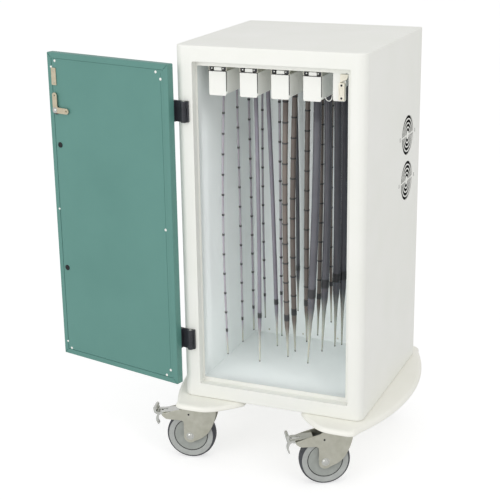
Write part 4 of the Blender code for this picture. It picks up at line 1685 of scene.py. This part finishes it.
@dataclass
class Catch(Assembly):
    """The bracket under the ceiling with the magnet that holds the door."""

    bracket_x: Point = (369.0, 399.0)
    bracket_y: Point = (31.6, 33.6)
    bracket_z: Point = (762.0, 826.7)
    flange_y: float = 62.0
    magnet_low: Point3 = (384.0, 24.4, 764.5)
    magnet_high: Point3 = (398.0, 31.3, 804.5)

    def bracket(self) -> Shape:
        """Make the folded bracket with its rounded lower corners."""
        (x0, x1), (y0, y1), (z0, z1) = self.bracket_x, self.bracket_y, self.bracket_z
        face = [(x1, z1), (x0, z1), *arc((x0 + 4, z0 + 4), 4, 180, 270, 6)]
        face += arc((x1 - 4, z0 + 4), 4, 270, 360, 6)
        plate = Shape().prism(face, y0, y1, Axis.Y)
        flange = Shape().block((x0, y0, z1 - 1.8), (x1, self.flange_y, z1))
        return plate.fuse(flange).soften(0.5, 2)

    def magnet(self) -> Shape:
        """Make the magnet's moulded housing with its raised pole face."""
        low, high = self.magnet_low, self.magnet_high
        case = Shape().block(low, high).soften(1.2, 3)
        frame_cut = Shape().prism(
            round_rect((low[0] + 2.6, low[2] + 10.5), (high[0] - 2.6, high[2] - 10.5), 3.0),
            low[1] - 2, low[1] + 0.8, Axis.Y,
        )
        pole = Shape().prism(
            round_rect((low[0] + 3.6, low[2] + 11.5), (high[0] - 3.6, high[2] - 11.5), 2.2),
            low[1] + 0.1, low[1] + 2.0, Axis.Y,
        )
        return case.carve(frame_cut).fuse(pole)

    def hook(self) -> Shape:
        """Make the small keeper block at the bracket's top right."""
        x1, z1, y0 = self.bracket_x[1], self.bracket_z[1], self.bracket_y[0]
        line = [(x1 - 12, z1 - 22), (x1 + 4, z1 - 14), (x1 + 8, z1 - 3), (x1 - 12, z1 - 3)]
        return Shape().prism(line, y0 - 5.5, y0 - 0.2, Axis.Y).soften(1.2, 3)

    def build(self) -> None:
        """Make the bracket, magnet, screws, keeper and hanging hooks."""
        self.put("catch_bracket", self.bracket(), BRACKET_COAT, "strike_bracket")
        self.put("catch_magnet", self.magnet(), CREAM_ABS, "magnet_catch")
        middle = (self.magnet_low[0] + self.magnet_high[0]) / 2
        away = Matrix.Rotation(math.radians(90), 4, "X")
        screw = slotted_head(2.6, 0.9).move(away)
        levels = (self.magnet_low[2] + 5.5, self.magnet_high[2] - 5.5)
        spots = [(middle, self.magnet_low[1], z) for z in levels]
        self.put("catch_screws", spread_items(points_tree, screw, spots), BLACK_RUBBER_AND_SHADE)
        self.put("catch_keeper", self.hook(), CREAM_ABS)
        x0, z0, y = self.bracket_x[0], self.bracket_z[0], self.bracket_y[0]
        wire = smooth_line(
            [
                (x0 - 2.0, y + 1.2, z0 + 14), (x0 - 4.0, y + 1.2, z0 + 3),
                (x0 - 10.0, y, z0 - 1), (x0 - 16.0, y - 1, z0 + 3), (x0 - 17.0, y - 1, z0 + 9),
            ],
            6,
        )
        self.put("catch_wire_hook", Shape().sweep(wire, 1.3, 12), CHROME)


@dataclass
class SlideRail(Assembly):
    """One ceiling rail with its ball cages, fixed to the cabinet."""

    number: int = 1
    left: float = 66.0
    width: float = 45.0
    y: Point = (30.0, 345.0)
    low: float = 815.5
    high: float = 826.7
    skin: float = 1.5
    cage: Point = (2.0, 9.4)

    def build(self) -> None:
        """Make the rail, its two black cages and their balls."""
        x0, x1 = self.left, self.left + self.width
        z0, z1, s = self.low, self.high, self.skin
        line = [
            (x0, z0), (x0 + 4.0, z0), (x0 + 4.0, z0 + 1.2), (x0 + s, z0 + s), (x0 + s, z1 - s),
            (x1 - s, z1 - s), (x1 - s, z0 + s), (x1 - 4.0, z0 + 1.2), (x1 - 4.0, z0), (x1, z0),
            (x1, z1), (x0, z1),
        ]
        rail = Shape().prism(line, *self.y, Axis.Y).soften(0.3, 1)
        self.put(f"slide_rail_{self.number}", rail, ZINC_PLATE, f"slide_rail_{self.number}")
        cages = Shape()
        near, far = self.y[0] + 0.6, self.y[1] - 0.6
        inner, outer = self.cage
        for a, b in ((x0 + inner, x0 + outer), (x1 - outer, x1 - inner)):
            cages.add(Shape().block((a, near, z0 + 1.8), (b, far, z1 - s - 0.2)).soften(0.6, 2))
        self.put(f"ball_cages_{self.number}", cages, BLACK_NYLON)
        ball = Shape().lathe(
            [(0, -2.2), (1.5, -1.6), (2.2, 0), (1.5, 1.6), (0, 2.2)], segments=8
        )
        middle = (z0 + z1) / 2
        spots, edges = [], []
        for x in (x0 + self.cage[1] - 1.0, x1 - self.cage[1] + 1.0):
            edges.append((len(spots), len(spots) + 1))
            spots += [(x, near - 0.6, middle), (x, near - 0.6 + 13 * 22.0, middle)]
        balls = spread_items(line_tree, ball, spots, edges, Pitch=22.0)
        self.put(f"slide_balls_{self.number}", balls, CHROME)


@dataclass
class Carriage(Assembly):
    """One pull-out carriage: a folded channel, its face plate and its runner."""

    number: int = 1
    left: float = 66.0
    width: float = 45.0
    y: Point = (30.0, 345.0)
    face_z: Point = (758.0, 815.2)
    side_low: float = 762.5
    skin: float = 1.5
    face_right: float = 42.8
    # The gap beside the face plate that holds a black block of painted shade.
    painted_shade: Point = (42.8, 44.3)
    runner_half: float = 9.5
    runner_z: Point = (812.0, 824.0)
    hole_spare: float = 1.5

    def channel(self, dilators: Sequence["Dilator"]) -> Shape:
        """Make the folded channel with a hole for every dilator."""
        x0, x1, s = self.left, self.left + self.width, self.skin
        near, far = self.y[0] + 2.2, self.y[1]
        low, high = self.side_low, self.face_z[1]
        channel = Shape().block((x0, near, low), (x1, far, high))
        channel.soften(1.2, 3, lambda e: max(v.co.z for v in e.verts) < low + TINY)
        hollow = Shape().block((x0 + s, near + s, low + s), (x1 - s, far - s, high + 9))
        holes = []
        for dilator in dilators:
            spot = dilator.point_at(low)
            holes.append(
                Shape().disc(
                    dilator.radius + self.hole_spare, -6, 8, (spot.x, spot.y, low), Axis.Z, 28
                )
            )
        return channel.carve(hollow, *holes)

    def face(self) -> Shape:
        """Make the face plate with its rounded lower corners."""
        x0, x1 = self.left, self.left + self.face_right
        z0, z1 = self.face_z
        line = [(x1, z1), (x0, z1), *arc((x0 + 3.5, z0 + 3.5), 3.5, 180, 270, 6)]
        line += arc((x1 - 3.5, z0 + 3.5), 3.5, 270, 360, 6)
        return Shape().prism(line, self.y[0], self.y[0] + 2.0, Axis.Y).soften(0.6, 3)

    def runner(self) -> Shape:
        """Make the white runner that hangs the channel in its rail."""
        middle = self.left + self.width / 2
        z0, z1 = self.runner_z
        half, s = self.runner_half, self.skin
        near, far = self.y[0] + 0.4, self.y[1] - 0.5
        line = round_rect((middle - half, z0), (middle + half, z1), 2.0, 4)
        runner = Shape().prism(line, near, far, Axis.Y)
        side = self.width / 2 - s - 0.2
        web = Shape().block((middle - side, near + 4, z0), (middle + side, far - 4, z0 + 1.4))
        return runner.fuse(web).soften(0.3, 1)

    def build_with(self, dilators: Sequence["Dilator"]) -> None:
        """Make the carriage's pieces round its dilators.

        Args:
            dilators: The dilators that hang in this carriage.
        """
        n = self.number
        self.put(f"carriage_channel_{n}", self.channel(dilators), BRACKET_COAT, f"carriage_{n}")
        self.put(f"carriage_face_{n}", self.face(), BRACKET_COAT)
        # Painted shade: a black block in the gap beside the face plate, where the side wall's edge
        # lies in shade, and a black line along the face's top edge as a painted shadow.
        painted_shade = Shape().block(
            (self.left + self.painted_shade[0], self.y[0] + 0.7, self.side_low + 6),
            (self.left + self.painted_shade[1], self.y[0] + 2.4, self.face_z[1] - 0.4),
        ).soften(0.3, 2)
        painted_shadow_line = Shape().block(
            (self.left, self.y[0] - 0.9, self.face_z[1] - 0.9),
            (self.left + self.width, self.y[0] + 0.3, self.face_z[1] + 0.7),
        )
        painted_shade.add(painted_shadow_line.soften(0.3, 2))
        self.put(f"carriage_seam_{n}", painted_shade, BLACK_RUBBER_AND_SHADE)
        self.put(f"carriage_runner_{n}", self.runner(), BRACKET_COAT)


@dataclass
class Dilator(Assembly):
    """One tapered dilator, read from its frame node: its top, its tip and its radius.

    A dilator without a node of its own is given as its line, from its top to its tip.
    """

    carriage: int = 1
    row: int = 1
    finish: Finish = LILAC_SHAFT
    banded: bool = True
    taper: float = 62.0
    bow: float = 0.0
    line: tuple[Point3, Point3] | None = None
    radius: float = 0.0
    band_pitch: float = 50.0
    collar_z: float = 764.4
    tip_radius: float = 1.3

    def __post_init__(self) -> None:
        """Measure the frame's node in the cabinet's millimetres."""
        if self.line:
            self.top, self.tip = (Vector(point) for point in self.line)
            return
        back = self.place.inverted()
        spots = [back @ vert.co for vert in frame["nodes"][self.name].data.vertices]
        highest, lowest = max(p.z for p in spots), min(p.z for p in spots)
        crown = [p for p in spots if p.z > highest - 1.0]
        foot = [p for p in spots if p.z < lowest + 0.5]
        self.top = self.middle(crown)
        self.tip = self.middle(foot)
        self.radius = max((p - self.top).length for p in crown)

    @staticmethod
    def middle(points: Sequence[Vector]) -> Vector:
        """Return the middle of a ring's outline."""
        low = Vector([min(p[i] for p in points) for i in range(3)])
        high = Vector([max(p[i] for p in points) for i in range(3)])
        return (low + high) / 2

    @property
    def name(self) -> str:
        """The frame node's name."""
        return f"dilator_{self.carriage}_{self.row}"

    @property
    def length(self) -> float:
        """The length from top to tip."""
        return (self.top - self.tip).length

    def share(self, z: float) -> float:
        """Return how far up from the tip a height is, from 0 to 1."""
        return (z - self.tip.z) / (self.top.z - self.tip.z)

    def point_at(self, z: float) -> Vector:
        """Return the centreline's point at a height."""
        return self.tip.lerp(self.top, self.share(z))

    def hang(self, shape: Shape) -> Shape:
        """Move a shape from the tip's frame, +Z up the shaft, into place, and bow it.

        Args:
            shape: A part of the dilator, in its own straight frame.

        Returns:
            The same shape where it hangs.
        """
        turn = (self.top - self.tip).to_track_quat("Z", "Y").to_matrix().to_4x4()
        shape.move(Matrix.Translation(self.tip) @ turn)
        for vert in shape.mesh.verts:
            along = min(1.0, max(0.0, self.share(vert.co.z)))
            vert.co.x += self.bow * math.sin(math.pi * along)
        return shape

    def shaft(self) -> Shape:
        """Make the shaft with its hanging collar."""
        r, top = self.radius, self.length
        collar = top - (self.top.z - self.collar_z)
        levels = [self.taper + (collar - self.taper) * i / 12 for i in range(13)]
        profile = [(0, self.taper), *[(r, level) for level in levels]]
        profile += [
            (r + 2.2, collar), (r + 2.4, collar + 1.0), (r + 2.2, collar + 5.0),
            (r, collar + 5.0), (r, top - 1.0), (r - 0.8, top), (0, top),
        ]
        return Shape().lathe(profile, segments=28)

    def tip_piece(self) -> Shape:
        """Make the tapered end: it narrows soon and then runs on as a long slim point."""
        r, taper, small = self.radius, self.taper, self.tip_radius
        slim = small + 0.3

        def at(share: float, width: float) -> Point:
            """Return a profile point at a share of the taper, between slim and full width."""
            return (slim + (r - slim) * width, taper * share)

        line = smooth_line(
            [at(1.0, 1.0), at(0.82, 0.84), at(0.66, 0.50), at(0.5, 0.30), at(0.25, 0.13),
             (slim, 3.0)],
            5,
        )
        profile = [(0.0, taper), *line, (small, 0.9), (small * 0.6, 0.2), (0.0, 0.0)]
        return Shape().lathe(profile, segments=28)

    def sleeve(self, length: float, proud: float) -> Shape:
        """Make a thin printed sleeve centred on its middle."""
        r = self.radius
        half = length / 2
        profile = [
            (r - 0.3, -half), (r + proud * 0.6, -half), (r + proud, -half + 0.5),
            (r + proud, half - 0.5), (r + proud * 0.6, half), (r - 0.3, half),
        ]
        return Shape().lathe(profile, segments=28)

    def bands(self) -> Shape:
        """Make the printed bands, the cuff where the taper starts and the tip's dark bead."""
        cuff = 3.0 + 2.2 * self.radius
        marks = self.sleeve(cuff, 0.5)
        marks.move(Matrix.Translation((0, 0, self.taper + cuff / 2 - 1.0)))
        if self.banded:
            count = int((self.length - self.taper - 40.0) // self.band_pitch)
            first = self.taper + self.band_pitch
            line = [(0, 0, first), (0, 0, first + (count - 1) * self.band_pitch)]
            length = 5.0 if self.radius < 3.5 else 3.8
            rings = spread_items(
                line_tree, self.sleeve(length, 0.8), line, [(0, 1)], Pitch=self.band_pitch
            )
            marks.add(rings)
        bead = [(0, 4.6), (1.5, 4.0), (1.9, 2.4), (1.6, 0.6), (0, -0.2)]
        return marks.add(Shape().lathe(bead, segments=14))

    def build(self) -> None:
        """Make the shaft, the tapered end and the printed marks."""
        nodes = () if self.line else (self.name,)
        self.put(self.name + "_shaft", self.hang(self.shaft()), self.finish, *nodes)
        end = replace(
            self.finish, name=self.finish.name + "_ground_tip", fade=PALE_TIP, soft=0.2
        )
        tip = self.put(self.name + "_taper", self.hang(self.tip_piece()), end)
        back = self.place.inverted()
        shade = tip.data.attributes.new("fade", "FLOAT", "POINT")
        for vert, value in zip(tip.data.vertices, shade.data):
            along = ((back @ vert.co).z - self.tip.z) / self.taper
            value.value = min(1.0, max(0.0, (0.85 - along) / 0.5))
        self.put(self.name + "_marks", self.hang(self.bands()), PRINT_BLACK)


@dataclass
class Fan(Assembly):
    """A square fan behind a vent. Its frame is at the fan's centre, unturned."""

    label: str = "upper"
    half: float = 52.0
    x: Point = (-12.5, 12.5)
    bore: float = 49.0
    hub: float = 19.0
    blades: int = 7
    slot_shade_reach: float = 66.5

    def housing(self) -> Shape:
        """Make the frame with its bore, corner holes, ribs and motor mount."""
        x0, x1 = self.x
        case = Shape().prism(round_rect((-self.half,) * 2, (self.half,) * 2, 5.0), x0, x1, Axis.X)
        cuts = [Shape().disc(self.bore, x0 - 5, x1 + 5, (0, 0, 0), Axis.X, 72)]
        for y in (-45.0, 45.0):
            for z in (-45.0, 45.0):
                cuts.append(Shape().disc(2.2, x0 - 5, x1 + 5, (0, y, z), Axis.X, 16))
        case.carve(*cuts).soften(0.6, 2, angle=60.0)
        struts = [
            Shape().block((x0 + 0.2, -self.bore - 1, -3), (x0 + 4, self.bore + 1, 3)),
            Shape().block((x0 + 0.2, -3, -self.bore - 1), (x0 + 4, 3, self.bore + 1)),
            Shape().disc(20.0, x0 + 0.1, x0 + 5, (0, 0, 0), Axis.X),
        ]
        return case.fuse(*struts)

    def blade(self) -> Shape:
        """Make one curved, twisted blade standing out from the hub along +X."""
        rows, columns = 7, 5
        mesh = Shape().mesh
        grid = []
        for i in range(rows):
            radius = 17.5 + (self.bore - 20.0) * i / (rows - 1)
            pitch = math.radians(52.0 - 20.0 * i / (rows - 1))
            half = 8.5 + 4.0 * i / (rows - 1)
            line = []
            for j in range(columns):
                along = half * (2 * j / (columns - 1) - 1)
                camber = 1.6 * (1 - (along / half) ** 2)
                y = along * math.cos(pitch) - camber * math.sin(pitch)
                z = along * math.sin(pitch) + camber * math.cos(pitch)
                line.append(mesh.verts.new((radius, y, max(-9.0, min(9.0, z)))))
            grid.append(line)
        for one, two in zip(grid, grid[1:]):
            for j in range(columns - 1):
                mesh.faces.new((one[j], one[j + 1], two[j + 1], two[j]))
        bmesh.ops.solidify(mesh, geom=list(mesh.faces), thickness=1.4)
        made = Shape()
        made.mesh = mesh
        return made

    def build(self) -> None:
        """Make the housing and the rotor."""
        self.put(
            "fan_housing_" + self.label, self.housing(), FAN_PLASTIC, "fan_housing_" + self.label
        )
        # Painted shade: black blocks behind the vents' screw slots, with plugs that fill the slots
        # so that they read dark.
        slot_shade = Shape()
        for y in (-self.slot_shade_reach, self.slot_shade_reach):
            shade_block = Shape().block((self.x[0] + 4.0, y - 5.0, -9.0), (self.x[1] - 0.2, y + 5.0, 9.0))
            shade_block.soften(1.0, 2)
            slot_fill = Shape().block((self.x[1] - 4.0, y - 1.8, -5.2), (self.x[1] + 2.2, y + 1.8, 5.2))
            slot_shade.add(shade_block.fuse(slot_fill))
        self.put("fan_clips_" + self.label, slot_shade, BLACK_RUBBER_AND_SHADE)
        body = "rotor_" + self.label
        hub = Shape().lathe(
            [(0, -6.0), (self.hub, -6.0), (self.hub, 8.5), (self.hub - 2, 10.2), (0, 10.2)]
        )
        blades = spread_items(wheel_tree, self.blade(), [(0, 0, 0)], Count=self.blades)
        hub.add(blades.move(Matrix.Translation((0, 0, 1.5)))).move(Axis.X.turn())
        self.put("fan_rotor_" + self.label, hub, FAN_PLASTIC, "fan_rotor_" + self.label, body=body)


@dataclass
class Studio:
    """The pale floor, the soft lights and the camera. Its sizes are in metres and degrees."""

    eye: Point3 = (1260.16, -2587.48, 1293.05)
    yaw: float = 22.74
    pitch: float = 17.66
    roll: float = -0.82
    lens: float = 89.73
    floor_reach: float = 14.0
    sky: float = 0.76

    def floor(self) -> None:
        """Lay the matt floor."""
        r = self.floor_reach
        mesh = bpy.data.meshes.new("studio_floor")
        mesh.from_pydata([(-r, -r, 0), (r, -r, 0), (r, r, 0), (-r, r, 0)], [], [(0, 1, 2, 3)])
        made = bpy.data.objects.new("studio_floor", mesh)
        bpy.context.scene.collection.objects.link(made)
        mesh.materials.append(STUDIO_FLOOR.material())

    def light(self, name: str, spot: Point3, aim: Point3, size: Point, power: float) -> None:
        """Hang one soft light that the camera doesn't see.

        Args:
            name: The light's name.
            spot: Where it hangs.
            aim: The point it faces.
            size: Its width and height.
            power: Its power in watts.
        """
        lamp = bpy.data.lights.new(name, "AREA")
        lamp.shape = "RECTANGLE"
        lamp.size, lamp.size_y = size
        lamp.energy = power
        made = bpy.data.objects.new(name, lamp)
        made.visible_camera = False
        made.location = spot
        made.rotation_euler = (Vector(aim) - Vector(spot)).to_track_quat("-Z", "Y").to_euler()
        bpy.context.scene.collection.objects.link(made)

    def sky_light(self) -> None:
        """Fill the room with even white, brighter where the camera looks straight at it."""
        world = bpy.data.worlds.new("studio_room")
        world.use_nodes = True
        tree = world.node_tree
        fill = tree.nodes["Background"]
        fill.inputs["Color"].default_value = (1.0, 1.0, 1.0, 1.0)
        fill.inputs["Strength"].default_value = self.sky
        seen = add_node(
            tree, "ShaderNodeBackground", {"Color": (1.0, 1.0, 1.0, 1.0), "Strength": 1.05}
        )
        path = add_node(tree, "ShaderNodeLightPath")
        both = add_node(
            tree,
            "ShaderNodeMixShader",
            {
                0: path.outputs["Is Camera Ray"],
                1: fill.outputs["Background"],
                2: seen.outputs["Background"],
            },
        )
        tree.links.new(both.outputs["Shader"], tree.nodes["World Output"].inputs["Surface"])
        bpy.context.scene.world = world

    def camera(self) -> None:
        """Stand the camera in front of the cabinet, a little to its right and above it."""
        a, e, r = (math.radians(v) for v in (self.yaw, self.pitch, self.roll))
        ahead = Vector((-math.sin(a) * math.cos(e), math.cos(a) * math.cos(e), -math.sin(e)))
        right = ahead.cross(Vector((0, 0, 1))).normalized()
        up = right.cross(ahead)
        across = right * math.cos(r) + up * math.sin(r)
        over = up * math.cos(r) - right * math.sin(r)
        eye = body_place() @ Vector(self.eye)
        lens = bpy.data.cameras.new("camera")
        lens.lens = self.lens
        lens.sensor_width = 36.0
        lens.clip_end = 60.0
        made = bpy.data.objects.new("camera", lens)
        turn = Matrix((across, over, -ahead)).transposed().to_4x4()
        made.matrix_world = Matrix.Translation(eye) @ turn
        bpy.context.scene.collection.objects.link(made)
        bpy.context.scene.camera = made

    def build(self) -> None:
        """Set the whole studio up."""
        self.floor()
        self.sky_light()
        self.light("key_light", (-1.3, -3.6, 1.6), (0.0, 0.0, 0.5), (2.6, 2.6), 37.0)
        self.light("side_light", (2.4, -1.7, 3.2), (0.3, 0.0, 0.9), (1.6, 1.6), 20.0)
        doorway = body_place() @ Vector((222.0, 33.0, 390.0))
        inside = doorway + Vector((0.0, 1.0, 0.0))
        self.light("chamber_fill", tuple(doorway), tuple(inside), (0.34, 0.62), 0.46)
        self.camera()
        bpy.context.scene.view_settings.view_transform = "Standard"


def build_casters() -> None:
    """Build the four casters, with pedals on the front two."""
    for spot in ("front_left", "front_right", "rear_left", "rear_right"):
        place = swivel_place(spot)
        Caster("caster_" + spot, place, spot=spot).build()
        if spot.startswith("front"):
            BrakePedal("pedal_" + spot, place, spot=spot).build()


def build_carriages(cabinet: Matrix) -> None:
    """Build the slides, the carriages and their dilators.

    Args:
        cabinet: The cabinet's local frame.
    """
    kinds = (
        (62.0, (LILAC_SHAFT,) * 4, (True, True, True, True), (-8.0, 1.0, 1.0, -3.0)),
        (
            115.0, (DUSK_SHAFT, DUSK_SHAFT, LILAC_SHAFT, SLATE_SHAFT),
            (False, False, True, False), (3.0, 2.0, 0.0, 3.0),
        ),
        (100.0, (BROWN_SHAFT,) * 4, (True, True, True, True), (-5.0, -7.0, -2.0, 4.0)),
        (175.0, (SLATE_SHAFT,) * 4, (False, False, False, False), (5.0, 6.0, 3.0, 2.0)),
    )
    back = cabinet.inverted()
    for number, (taper, finishes, banded, bows) in enumerate(kinds, start=1):
        left = (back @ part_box(f"carriage_{number}")[0]).x
        SlideRail("cabinet", cabinet, number=number, left=left).build()
        body = f"carriage_{number}"
        dilators = [
            Dilator(
                body, cabinet, carriage=number, row=row, finish=finish, banded=mark,
                taper=taper, bow=bow,
            )
            for row, (finish, mark, bow) in enumerate(zip(finishes, banded, bows), start=1)
        ]
        if number == len(kinds):
            middle = left + Carriage.width / 2
            spare = Dilator(
                body, cabinet, carriage=number, row=5, finish=BROWN_SHAFT, taper=98.0,
                line=((middle, 169.0, 797.0), (middle, 170.0, 175.0)), radius=3.8, bow=-2.0,
            )
            dilators.append(spare)
        Carriage(body, cabinet, number=number, left=left).build_with(dilators)
        for dilator in dilators:
            dilator.build()


def main() -> None:
    logging.basicConfig(level=logging.INFO, format="%(name)s: %(message)s")
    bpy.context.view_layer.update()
    cabinet = body_place()
    door = door_place()
    Studio().build()
    CabinetShell("cabinet", cabinet).build()
    ChamberLiner("cabinet", cabinet).build()
    BumperWing("cabinet", cabinet, side=Side.LEFT, plate_x=47.0).build()
    BumperWing("cabinet", cabinet, side=Side.RIGHT, plate_x=403.0).build()
    build_casters()
    for label, z in (("upper", 722.0), ("lower", 153.4)):
        Hinge("cabinet", cabinet, label=label, z=z, door=door).build()
    Door("door", door).build()
    PullHandle("door", door).build()
    TurnLock("door", door).build()
    Catch("cabinet", cabinet).build()
    build_carriages(cabinet)
    for label in ("upper", "lower"):
        Fan("cabinet", centre_place("fan_spin_" + label), label=label).build()


if __name__ == "__main__":
    main()
